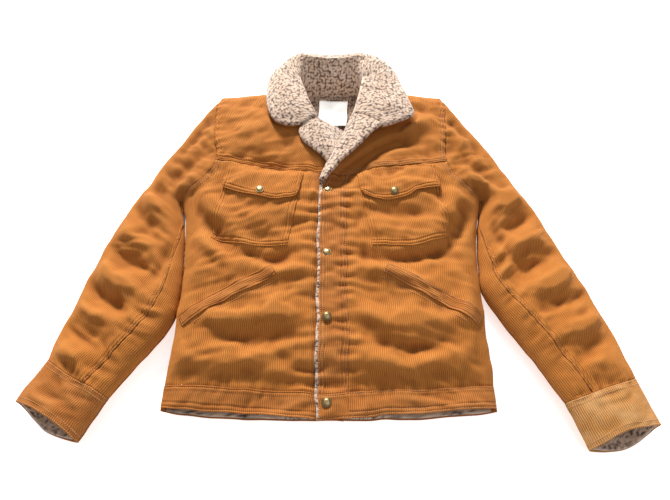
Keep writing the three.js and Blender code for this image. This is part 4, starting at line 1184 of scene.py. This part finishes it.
# %% Welts and bags
WELT_LENGTH, WELT_WIDTH, WELT_SLOPE, BELOW_WELT = 170, 21, math.radians(30), 7.0
for sign, side in SIDES:
    way = np.array([sign * math.cos(WELT_SLOPE), -math.sin(WELT_SLOPE)])
    over = np.array([sign * math.sin(WELT_SLOPE), math.cos(WELT_SLOPE)])
    along = spread(np.array([float(WELT_LENGTH)]), 3.0)[0]
    start = np.array([sign * 92.0, 236.0])
    low = start + along[:, None] * way - over * WELT_WIDTH / 2
    high = low + over * WELT_WIDTH
    first, second = (low, high) if sign > 0 else (high, low)
    p = ruled(first, second, 2.0)
    x, y = p[..., 0], p[..., 1]
    middle = on_front(x, y, 1.5)
    middle = settle(felled(middle, "abcd", 0.3, SINGLE))
    uv = np.stack([measure(middle, 1), measure(middle, 0)], -1)
    face = cloth(f"{side}_hand_pocket_welt_cloth", middle, WELT, trim_corduroy, "corduroy_trim",
                 "jacket", [f"{side}_hand_pocket_welt"], rounded="abcd", uv=uv, swap=sign > 0)
    rim_lines("jacket", face, "abcd", SINGLE)
    line = start - over * (WELT_WIDTH / 2 + BELOW_WELT) + np.linspace(0, 150, 60)[:, None] * way
    x, y = line[:, 0], line[:, 1]
    sew("jacket", settle(on_front(x, y, 0.2)))
    bag_a = np.stack([np.full(12, sign * 88.0), np.linspace(130, 222, 12)], -1)
    bag_b = np.stack([np.full(12, sign * 198.0), np.linspace(130, 168, 12)], -1)
    p = ruled(bag_a, bag_b, 8.0)
    x, y = p[..., 0], p[..., 1]
    cloth(f"{side}_hand_pocket_bag_cloth", settle(np.dstack([x, y, front_z(x, y, 3.5)])), TWILL,
          bag_twill, "pocketing", "jacket", [f"{side}_hand_pocket_bag"])
print("hand pockets done")

# %% [markdown]
# ## Back
# The back lies on the table: a panel, a yoke set high across the shoulders and a waistband.

# %% Back panel, yoke and waistband
def neck_rise(x):
    outside = 22 * ramp(-np.abs(x), -TIP_X, -NECK_X)
    return np.where(np.abs(x) > NECK_X, outside, 22 - 12 * (1 - (x / NECK_X) ** 2))


def back_rows(levels, step=5.0, depth=1.7, pull=0.0, middle=None, ends=TURN):
    a, b = (front_rows(sign, np.asarray(levels, float))[1] for sign in (-1, 1))
    bow = -7 * (1 - ramp(levels, 0, 60)) - 5 * (1 - ramp(levels, 0, 40))
    a, b = a + [pull, 0], b - [pull, 0]
    if middle is None:
        p = ruled(a, b, step, ends, ends)
    else:
        share = (middle / middle[-1])[None, :, None]
        p = a[:, None, :] + (b - a)[:, None, :] * share
    x, y = p[..., 0], p[..., 1]
    mid = (1 - (x / 254) ** 2)
    y = y + ramp(y, BACK_YOKE_Y, TIP_Y) * neck_rise(x) + bow[:, None] * np.clip(0.35 + mid, 0, 1.2)
    return np.dstack([x, y, back_z(x, y, depth)])


top_levels = np.concatenate([levels_between(BACK_YOKE_Y, NECK_Y - FOLD_R, 5.0, end=NONE)[:-1],
                             (NECK_Y - TURN)[::-1]])
BACK_PARTS = {
    "back_waistband": (levels_between(0, WAISTBAND, 3.0), "b", trim_corduroy, "corduroy_trim"),
    "back_panel": (levels_between(WAISTBAND, BACK_YOKE_Y, 5.0), "", body_corduroy, "corduroy"),
    "back_yoke": (top_levels, "a", body_corduroy, "corduroy"),
}
for name, (levels, raised, look, slot) in BACK_PARTS.items():
    p = back_rows(levels)
    if raised:
        q = felled(p, raised, 0.8, DOUBLE)
        p[..., 2] = np.maximum(1.6, 2 * p[..., 2] - q[..., 2])
    face = cloth(f"{name}_cloth", settle(p), SHELL, look, slot, "jacket", [name], rounded="ab",
                 swap=True)
    if raised:
        for inset in DOUBLE:
            sew("jacket", border_line(face, raised, inset, start=60, end=60),
                up=np.array([0, 0, -1.0]))
print("back done")

# %% [markdown]
# ## Sleeves and cuffs
# A sleeve is cut in two pieces. Its top piece runs from the outer fold to a seam near the
# underarm, and its under piece wraps round the back. The cuff is a separate band whose mouth
# stands open, so the fleece inside shows.

# %% Rows across an arm
def arm_row_ends(sign, t):
    lines = ARM_LINES[sign]
    outer = at_length(lines["outer"], np.asarray(t) * lengths(lines["outer"])[-1])
    inner = at_length(lines["inner"], np.asarray(t) ** 1.5 * lengths(lines["inner"])[-1])
    return outer, inner


def shoulder_bend(sign):
    """Two points at the shoulder, in frame metres, handed on as bend."""
    return [tuple(place([sign * (TIP_X - 22), 560.0, 40.0])),
            tuple(place([sign * (TIP_X + 75), 520.0, 40.0]))]


def to_armhole(sign, p, a, b, t):
    """Bends the first rows so that they start on the armhole's curve."""
    hole = armhole(sign)
    share = np.linalg.norm(p - a[:, None], axis=-1) / np.linalg.norm(b - a, axis=-1)[:, None]
    curve = at_length(hole, share * lengths(hole)[-1]) + [sign * 0.8, 0]
    start_a, start_b = arm_row_ends(sign, np.array([0.0]))
    straight = start_a[0] + (start_b[0] - start_a[0]) * share[..., None]
    fade = (1 - ramp(t, 0, 0.22))[:, None, None] ** 2
    return p + (curve - straight) * fade


def arm_layer(sign, t, ends, step, start, end, height, depth):
    """One stretch of a layer of the arm, between two shares of its width."""
    a, b = arm_row_ends(sign, t)
    p = ruled(a + (b - a) * ends[0][:, None], a + (b - a) * ends[1][:, None], step, start, end)
    p = to_armhole(sign, p, a, b, t)
    x, y = p[..., 0], p[..., 1]
    return np.dstack([x, y, height(x, y, depth)])


for sign, side in SIDES:
    body = f"{side}_sleeve"
    length = lengths(ARM_LINES[sign]["outer"])[-1]
    t = spread(np.array([length]), 3.8)[0] / length
    a, b = arm_row_ends(sign, t)
    width = np.linalg.norm(b - a, axis=1)
    seam = 1 - (10 + 28 * ease(t, 0.25, 0.8)) / width
    zero, one = np.zeros_like(t), np.ones_like(t)
    bend = shoulder_bend(sign)
    top = arm_layer(sign, t, (zero, seam), 3.4, TURN, EDGE, front_z, 1.0)
    top = settle(tucked(felled(top, "d", 0.7, (2.4, 7.6)), "a", 1.0, 4.0))
    face = cloth(f"{side}_top_sleeve_cloth", top, SHELL, body_corduroy, "corduroy", body,
                 [f"{side}_top_sleeve"], rounded="abd", bend=bend, swap=sign < 0)
    rim_lines(body, face, "d", (2.4,), start=12, end=4)
    over = arm_layer(sign, t, (seam, one), 4.0, EDGE, TURN, front_z, 1.0)
    over = tucked(tucked(over, "a", 1.0, 4.0), "c", 0.8, 4.0)
    below = arm_layer(sign, t, (one, zero), 5.0, TURN, TURN, back_z, 1.0)
    under = settle(np.concatenate([over[:, :-1], below], 1))
    cloth(f"{side}_under_sleeve_cloth", under, SHELL, body_corduroy, "corduroy", body,
          [f"{side}_under_sleeve"], rounded="abc", bend=bend, swap=sign < 0)
    print(side, "sleeve:", [len(o.data.polygons) for o in MADE[-2:]])


# %% Cuffs with open mouths
def cuff_ring(sign, stops, depth, inset, mouth=1.0, step=4.0):
    lines = ARM_LINES[sign]
    a = lines["outer_end"] + stops[:, None] * lines["cuff"]
    b = lines["inner_end"] + stops[:, None] * lines["cuff"]
    way = (b - a) / CUFF_WIDTH
    a, b = a + way * inset, b - way * inset
    over, below = ruled(a, b, step, TURN, TURN), ruled(b, a, step, TURN, TURN)
    out = []
    for p, height, reach in ((over, front_z, -9.0), (below, back_z, 15.0)):
        share = np.linalg.norm(p - a[:, None], axis=-1) / (CUFF_WIDTH - 2 * inset)
        push = reach * mouth * np.sin(math.pi * np.clip(share, 0, 1)) * ease(
            stops, CUFF_LENGTH * 0.35, CUFF_LENGTH)[:, None]
        x, y = p[..., 0] + push * lines["cuff"][0], p[..., 1] + push * lines["cuff"][1]
        out.append(np.dstack([x, y, height(x, y, depth)]))
    over, below = out
    if inset == 0:
        over[:, 0, 2] = over[:, -1, 2] = FOLD_Z
        return np.concatenate([over[:, :-1], below[:, 1:-1], over[:, :1]], 1)
    return np.concatenate([over, below, over[:, :1]], 1)


for sign, side in SIDES:
    stops = spread(np.array([float(CUFF_LENGTH)]), 3.0)[0]
    ring = cuff_ring(sign, stops, 1.3, 0)
    ring = settle(ring)
    uv = np.stack([measure(ring, 1), np.broadcast_to(stops[:, None], ring.shape[:2])], -1)
    look = cuff_corduroy if sign > 0 else trim_corduroy
    face = cloth(f"{side}_cuff_cloth", ring, CUFF, look, "corduroy_trim", f"{side}_sleeve",
                 [f"{side}_cuff"], rounded="ab", ring=True, uv=uv, swap=sign < 0)
    half = face[:, :face.shape[1] // 2 + 2]
    rim_lines(f"{side}_sleeve", half, "ab", PAIR)
print("cuffs done")

# %% [markdown]
# ## Linings
# The whole jacket is lined with the same curly fleece. Where the lining can be seen, inside
# the neck, the hem and the cuffs, its points are close enough for every curl.

# %% Sleeve linings
for sign, side in SIDES:
    length = lengths(ARM_LINES[sign]["outer"])[-1]
    t = spread(np.array([length]), 9.0)[0][2:] / length
    a, b = arm_row_ends(sign, t)
    width = np.linalg.norm(b - a, axis=1)
    low, high = 9 / width, 1 - 9 / width
    over = arm_layer(sign, t, (low, high), 9.0, NONE, NONE, front_z, 8.0)
    below = arm_layer(sign, t, (high, low), 9.0, NONE, NONE, back_z, 8.0)
    tube = np.concatenate([over, below, over[:, :1]], 1)
    tube = settle(tube)
    cloth(f"{side}_sleeve_lining_fleece", tube, TUBE_LINING, lining_fleece, "fleece",
          f"{side}_sleeve", [f"{side}_sleeve_lining"], rounded="ab", ring=True, swap=sign < 0,
          bend=shoulder_bend(sign))
    stops = np.arange(0, CUFF_LENGTH - 1.5, 1.6)
    ring = cuff_ring(sign, stops, 6.0, 5.0, step=1.8)
    ring = settle(ring)
    cloth(f"{side}_cuff_lining_fleece", ring, TUBE_LINING, lining_fleece, "fleece",
          f"{side}_sleeve", (), rounded="ab", ring=True, nap=pile(ring, 4.6, 71),
          nap_height=1.6, under_nap=True, edge=3.0, swap=sign < 0)

# %% Back and front linings
rows = np.concatenate([np.arange(2, 26, 2.2), np.arange(28, 500, 9.0), np.arange(502, 637, 1.7)])
across = np.concatenate([np.arange(0, 170, 9.0), np.arange(172, 336, 1.7),
                         np.arange(338, 508, 9.0)])
lining = back_rows(rows, depth=5.9, pull=8.0, middle=across)
lining[..., 1] += 36 * ease(rows, 520, 637)[:, None] * ease(78 - np.abs(lining[..., 0]), 0, 18)
lining = settle(lining)
cloth("back_lining_fleece", lining, BACK_LINING, lining_fleece, "fleece", "jacket", ["back_lining"],
      nap=pile(lining, 5.0, 81), nap_height=1.8, rounded="abcd")
for sign, side in SIDES:
    rows = levels_between(3, 628, 7.0)
    p = front_middle(sign, rows, 6 if sign < 0 else PLACKET + 2, None, 8.6, 7.0, end=EDGE)
    p[..., 0] -= sign * 9 * ease(np.abs(p[..., 0]), 150, 215)
    if sign < 0:
        p[..., 2] -= 1.5
    p = settle(p)
    cloth(f"{side}_front_lining_fleece", p, FRONT_LINING, lining_fleece, "fleece", "jacket",
          [f"{side}_front_lining"], nap=pile(p, 6.0, 83), nap_height=1.0, rounded="abcd",
          swap=True)
print("linings done")


# %% [markdown]
# ## Collar
# The collar is fleece on its upper face and corduroy underneath. Its stand rises from the neck
# seam, and the fall turns over it: down behind at the back, and outwards as two wings at the
# front. The left wing runs on into a narrow lapel along the front edge.

# %% Helper: a surface through rows of control points
def evenly(points, count):
    line = smooth_line(points, 1.0)
    return at_length(line, np.linspace(0, lengths(line)[-1], count))


def lofted(rows, across, along):
    """Smooth surface through rows of points: across points in each row, along rows."""
    grid = np.stack([evenly(row, across) for row in rows])
    return np.stack([evenly(grid[:, j], along) for j in range(across)], 1)


def sway_pile(p, size=26, height=1.6, seed=91):
    """Soft unevenness of a pile that has been pressed and fluffed."""
    q = p.copy()
    q[..., 2] += height * noise(p[..., 0], p[..., 1], size, seed)
    q[..., 2] += 0.4 * height * noise(p[..., 0], p[..., 1], 0.4 * size, seed + 1)
    return q


# %% Wings: rows from the neck end of each fold round to the back, fold edge to outer edge
WINGS = {
    "right": [
        [(-29, 556, 60), (-36, 548, 63), (-46, 535, 62)],
        [(-35, 570, 62), (-56, 553, 67), (-78, 530, 64)],
        [(-43, 590, 63), (-74, 572, 69), (-105, 538, 64)],
        [(-50, 608, 63), (-86, 596, 69), (-120, 566, 64)],
        [(-56, 625, 62), (-93, 618, 68), (-126, 600, 62)],
        [(-61, 643, 61), (-96, 640, 65), (-127, 636, 58)],
    ],
    "left": [
        [(47, 557, 62), (70, 545, 70), (96, 521, 72)],
        [(50, 571, 63), (86, 553, 72), (126, 529, 74)],
        [(53, 585, 63), (100, 566, 73), (157, 547, 74)],
        [(57, 600, 63), (103, 584, 72), (152, 575, 72)],
        [(61, 615, 62), (104, 604, 70), (146, 602, 69)],
        [(64, 630, 62), (104, 622, 68), (141, 622, 66)],
        [(66, 645, 61), (105, 640, 66), (137, 642, 62)],
    ],
}
HINGES = {"right": ((-47, 598), (-1, -0.36)), "left": ((57, 598), (1, -0.13))}
for side, rows in WINGS.items():
    flip = side == "right"
    p = lofted(rows, 92, 104)
    p = sway_pile(p)
    (hx, hy), (wx, wy) = HINGES[side]
    bend = [tuple(place([hx, hy, 62.0])), tuple(place([hx + 24 * wx, hy + 24 * wy, 64.0]))]
    cloth(f"{side}_collar_wing_fleece", p, COLLAR, collar_fleece, "fleece", f"{side}_wing",
          [f"{side}_collar_wing"], nap=pile(p, COLLAR_CURL, 92 + flip), nap_height=COLLAR_NAP,
          rounded="ad", edge=6.5, bend=bend, swap=not flip)
    q = p[::3, ::3] - [0, 0, 5.4]
    cloth(f"{side}_undercollar_cloth", q, UNDERCOLLAR, body_corduroy, "corduroy", f"{side}_wing",
          [f"{side}_undercollar"], rounded="abcd", bend=bend, swap=not flip)
print("wings done")

# %% Stand, back fall and undercollar, on the jacket's body
STAND = [
    [(-24, 552, 50), (-46, 600, 30), (-58, 638, 14), (-40, 649, 10), (0, 648, 9), (40, 649, 10),
     (58, 642, 14), (52, 600, 32), (40, 556, 52)],
    [(-27, 552, 55), (-48, 602, 46), (-63, 646, 38), (-44, 664, 34), (2, 664, 33), (46, 664, 34),
     (63, 648, 38), (54, 602, 47), (43, 556, 56)],
    [(-28, 553, 60), (-50, 606, 60), (-66, 668, 59), (-54, 690, 56), (4, 690, 54), (54, 690, 56),
     (67, 668, 60), (57, 606, 60), (46, 557, 61)],
    [(-30, 555, 62), (-51, 608, 63), (-69, 690, 62), (-56, 704, 64), (6, 701, 62), (56, 704, 64),
     (69, 692, 62), (58, 608, 63), (47, 557, 62)],
]
stand = lofted(STAND, 300, 66)
stand = sway_pile(stand)
cloth("collar_stand_fleece", stand, STAND_THICK, stand_fleece_painted_light, "fleece", "jacket", ["back_collar"],
      nap=pile(stand, COLLAR_CURL, 96), nap_height=COLLAR_NAP, rounded="acd", edge=3.5, swap=True)
FALL = [
    [(-61, 641, 61), (-97, 638, 65), (-127, 634, 58)],
    [(-67, 668, 61), (-96, 672, 60), (-121, 672, 48)],
    [(-68, 690, 61), (-88, 698, 56), (-106, 702, 38)],
    [(-65, 702, 62), (-76, 717, 53), (-86, 724, 34)],
    [(-55, 706, 63), (-60, 724, 52), (-64, 734, 30)],
    [(-32, 701, 62), (-34, 722, 51), (-35, 733, 26)],
    [(4, 698, 62), (4, 720, 50), (4, 733, 25)],
    [(34, 701, 62), (36, 722, 51), (37, 733, 27)],
    [(55, 707, 63), (62, 722, 54), (68, 730, 34)],
    [(65, 702, 62), (80, 714, 58), (94, 716, 42)],
    [(69, 688, 61), (96, 696, 63), (118, 694, 52)],
    [(68, 666, 61), (103, 668, 66), (130, 668, 58)],
    [(66, 643, 61), (105, 638, 66), (137, 640, 62)],
]
fall = sway_pile(lofted(FALL, 64, 260))
cloth("back_collar_fall_fleece", fall, COLLAR, collar_fleece, "fleece", "jacket", (),
      nap=pile(fall, COLLAR_CURL, 98), nap_height=COLLAR_NAP, rounded="d", edge=6.0, swap=False)
lean = fall[::4, ::3].copy()
lean[..., 2] -= 5.6
lean[..., 1] -= 1.5
cloth("back_undercollar_cloth", lean, UNDERCOLLAR, body_corduroy, "corduroy", "jacket",
      ["back_undercollar"], rounded="abcd", swap=False)
print("stand and back fall done")

# %% Lapels
LEFT_LAPEL = [
    [(40, 559, 46), (44, 558, 58), (68, 544, 71), (96, 523, 75)],
    [(31, 535, 45), (34, 534, 57), (54, 525, 70), (79, 508, 74)],
    [(21, 509, 44), (24, 508, 56), (41, 500, 68), (61, 487, 73)],
    [(9, 485, 43), (12, 484, 55), (26, 477, 66), (42, 467, 71)],
    [(-3, 460, 42), (0, 460, 54), (10, 455, 64), (22, 449, 69)],
    [(-13, 436, 42), (-10, 436, 53), (-3, 433, 61), (6, 430, 65)],
    [(-19, 414, 42), (-18, 414, 51), (-14, 412, 58), (-9, 411, 61)],
]
p = sway_pile(lofted(LEFT_LAPEL, 60, 150))
cloth("left_lapel_fleece", p, LEFT_LAPEL_THICK, collar_fleece, "fleece", "jacket", ["left_lapel"],
      nap=pile(p, LAPEL_CURL, 102), nap_height=LAPEL_NAP, rounded="bd", edge=5.0, swap=False)
q = p[::3, 15::3] - [0, 0, 4.8]
cloth("left_lapel_back_cloth", q, LAPEL_BACK, body_corduroy, "corduroy", "jacket", (),
      rounded="abcd")
RIGHT_LAPEL = [
    [(22, 549, 22), (-6, 551, 42), (-26, 551, 58), (-36, 547, 61), (-48, 541, 60)],
    [(26, 535, 24), (2, 536, 43), (-18, 535, 58), (-38, 529, 62), (-60, 522, 60)],
    [(26, 517, 28), (6, 518, 45), (-11, 517, 58), (-32, 509, 62), (-54, 499, 60)],
    [(22, 498, 34), (9, 498, 47), (-4, 497, 58), (-20, 490, 61), (-35, 480, 59)],
    [(16, 478, 41), (9, 478, 50), (2, 477, 57), (-7, 472, 59), (-16, 464, 57)],
    [(12, 460, 46), (9, 459, 51), (6, 457, 54), (1, 453, 55), (-3, 447, 53)],
]
p = sway_pile(lofted(RIGHT_LAPEL, 84, 90), 22, 1.2, 103)
cloth("right_lapel_fleece", p, RIGHT_LAPEL_THICK, collar_fleece, "fleece", "jacket",
      ["right_lapel"], nap=pile(p, LAPEL_CURL, 104), nap_height=LAPEL_NAP, rounded="abcd",
      edge=4.0, swap=True)
print("lapels done")

# %% Blank neck label and size tab
def label(name, x0, x1, y0, y1, lift, nodes):
    a = np.stack([np.linspace(x0, x0 - 1, 40), np.linspace(y0, y1, 40)], -1)
    b = np.stack([np.linspace(x1, x1 + 1, 40), np.linspace(y0 + 1, y1, 40)], -1)
    p = ruled(a, b, 1.6)
    x, y = p[..., 0], p[..., 1]
    z = lift + 1.4 * noise(x, y, 18, 111) + 5.0 * ease(y, 600, 634) + 0.8 * ease(y, y0 + 8, y0)
    return cloth(name, settle(np.dstack([x, y, z])), SATIN, label_satin, "label", "jacket", nodes,
                 edge=0.4)


face = label("neck_label_satin", -24, 31, 567, 629, 15.2, ["neck_label"])
sew("jacket", border_line(face, "b", 1.6))
label("size_tab_satin", -8, 14, 553, 569, 14.0, ["size_tab"])
print("labels done")

# %% [markdown]
# ## Snaps
# Ring-spring snaps: a domed cap with a rolled rim on the outside, a ring socket under it and a
# stud with a flange on the layer below. The dome is rubbed bright and the rim stays dark. Each
# snap leans half as much as the cloth it is set in.

# %% Helper: turned metal parts, and all the snaps
def turned(name, centre, profile, body, nodes, sides=48, tilt=(0, 0)):
    profile = np.array(profile, float)
    angle = np.linspace(0, 2 * math.pi, sides, endpoint=False)
    r, z = profile[:, 0], profile[:, 1]
    x = r[:, None] * np.cos(angle)
    y = r[:, None] * np.sin(angle)
    zz = np.broadcast_to(z[:, None], x.shape) + tilt[0] * x + tilt[1] * y
    points = np.stack([x, y, zz], -1).reshape(-1, 3) + centre
    at = np.arange(len(profile) * sides).reshape(len(profile), sides)
    nxt = np.roll(at, -1, axis=1)
    quads = np.stack([at[:-1], nxt[:-1], nxt[1:], at[1:]], -1).reshape(-1, 4)
    faces = [list(q) for q in quads]
    faces.append(list(at[0][::-1]))
    faces.append(list(at[-1]))
    bright = np.repeat(np.clip(1 - r / 5.2, 0, 1) * (z > 1.2), sides)
    obj = make_mesh(name, points, faces, facts={"nap": bright, "hollow": bright * 0})
    return finish_piece(obj, brass, body, nodes)


# Profiles, each as radius and height from the inside out
CAP = [(0.8, -2.0), (1.5, -1.8), (1.6, 0), (6.6, 0), (7.2, 0.15), (7.5, 0.6), (7.4, 1.1),
       (7.0, 1.45), (6.5, 1.4), (6.2, 1.25), (5.9, 1.5), (5.3, 2.2), (4.5, 2.75), (3.5, 3.1),
       (2.2, 3.35), (1.0, 3.45), (0.3, 3.46)]
SOCKET = [(3.0, -1.8), (5.2, -1.8), (5.6, -1.4), (5.6, -0.3), (5.2, 0), (3.2, 0), (3.0, -0.2)]
STUD = [(1.0, -1.6), (1.5, -1.5), (1.6, 0), (4.8, 0), (5.0, 0.3), (4.6, 0.8), (2.2, 0.9),
        (1.7, 1.3), (1.7, 2.4), (1.9, 2.9), (1.6, 3.3), (0.4, 3.4)]


def snap(tag, x, y, cap_z, gap, body):
    at = np.array([x, y, cap_z])
    spot = settle(at[None])[0]
    near = settle(at + np.array([(4, 0, 0), (-4, 0, 0), (0, 4, 0), (0, -4, 0)]))
    tilt = np.clip([(near[0, 2] - near[1, 2]) / 16, (near[2, 2] - near[3, 2]) / 16], -0.16, 0.16)
    top = spot + [0, 0, 0.9]
    turned(f"{tag}_cap_brass", top, CAP, body, [f"{tag}_cap"], tilt=tilt)
    turned(f"{tag}_socket_brass", spot - [0, 0, gap * 0.35], SOCKET, body, [f"{tag}_socket"],
           tilt=tilt)
    turned(f"{tag}_stud_brass", spot - [0, 0, gap], STUD, "jacket", [f"{tag}_stud"], tilt=tilt)


for tag, y in (("top_snap", 395), ("upper_snap", 266), ("lower_snap", 154), ("waistband_snap", 26)):
    z = float(front_z(np.array([-6.0]), np.array([float(y)]))[0])
    snap(tag, -6.0, float(y), z, 7.0, "front_edge")
for sign, side in SIDES:
    across, down = (0.0, 52.0) if sign < 0 else (-14.0, 52.0)
    x, y = on_pocket(sign, across, down)
    z = float(front_z(np.array([x]), np.array([y]))[0])
    z += float(flap_height(sign, across, down)) + 1.0
    snap(f"{side}_flap_snap", float(x), float(y), z, 3.4, f"{side}_flap")
print("snaps done")

# %% All the stitches, one mesh for each body
make_stitches("jacket_topstitching", "jacket", "jacket")
make_stitches("front_edge_topstitching", "front_edge", "front_edge")
for sign, side in SIDES:
    make_stitches(f"{side}_flap_topstitching", f"{side}_flap", f"{side}_flap")
    make_stitches(f"{side}_sleeve_topstitching", f"{side}_sleeve", f"{side}_sleeve",
                  shoulder_bend(sign))

# %% [markdown]
# ## Table, light and camera
# A plain near-white table, one large soft light from beyond the collar and a bright even room
# keep the background clean and still model every fold.

# %% Table
def make_table():
    size = 3.0 / MM
    corners = [(-size, -size, 0), (size, -size, 0), (size, size, 0), (-size, size, 0)]
    table = make_mesh("table", corners, [[0, 1, 2, 3]], smooth=False)
    table.location.z = -0.0006
    table.data.materials.append(new_material(
        "table_white_matt", Roughness=0.9, Base_Color=linear("#fbfbfb"), Emission_Strength=0.6,
        Emission_Color=linear("#ffffff"))[0])


make_table()


# %% Lights and room: places in garment millimetres, sizes in metres
def aim(obj, target):
    obj.rotation_euler = (Vector(target) - obj.location).to_track_quat("-Z", "Y").to_euler()


def soft_light(name, where, size, watts, tint):
    lamp = bpy.data.lights.new(name, "AREA")
    lamp.shape = "DISK"
    lamp.size = size
    lamp.energy = watts
    lamp.color = linear(tint)[:3]
    obj = bpy.data.objects.new(name, lamp)
    bpy.context.scene.collection.objects.link(obj)
    obj.location = place(where)
    aim(obj, place([0, 300, 0]))


soft_light("window_light", (-800, 4500, 2250), size=1.1, watts=490.0, tint="#fffaf2")
soft_light("fill_light", (900, -500, 1500), size=1.6, watts=7.0, tint="#f4f7ff")
room = bpy.data.worlds.new("room")
room.use_nodes = True
sky = room.node_tree.nodes["Background"].inputs
sky["Color"].default_value = (1, 1, 1, 1)
sky["Strength"].default_value = 0.44
bpy.context.scene.world = room
bpy.context.scene.view_settings.view_transform = "Standard"

# %% Camera: above the hem end, tilted 26 degrees from straight down
DISTANCE, TILT, LENS = 900.0, math.radians(26), 26.87
target = np.array([8.0, 298.0, 0.0])
lens = bpy.data.cameras.new("camera")
lens.sensor_width = 36.0
lens.lens = LENS
lens.clip_end = 20
camera = bpy.data.objects.new("camera", lens)
bpy.context.scene.collection.objects.link(camera)
camera.location = place(target + DISTANCE * np.array([0, -math.sin(TILT), math.cos(TILT)]))
aim(camera, place(target))
bpy.context.scene.camera = camera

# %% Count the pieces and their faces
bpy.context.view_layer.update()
print("pieces:", len(MADE), "faces:", sum(len(o.data.polygons) for o in MADE))
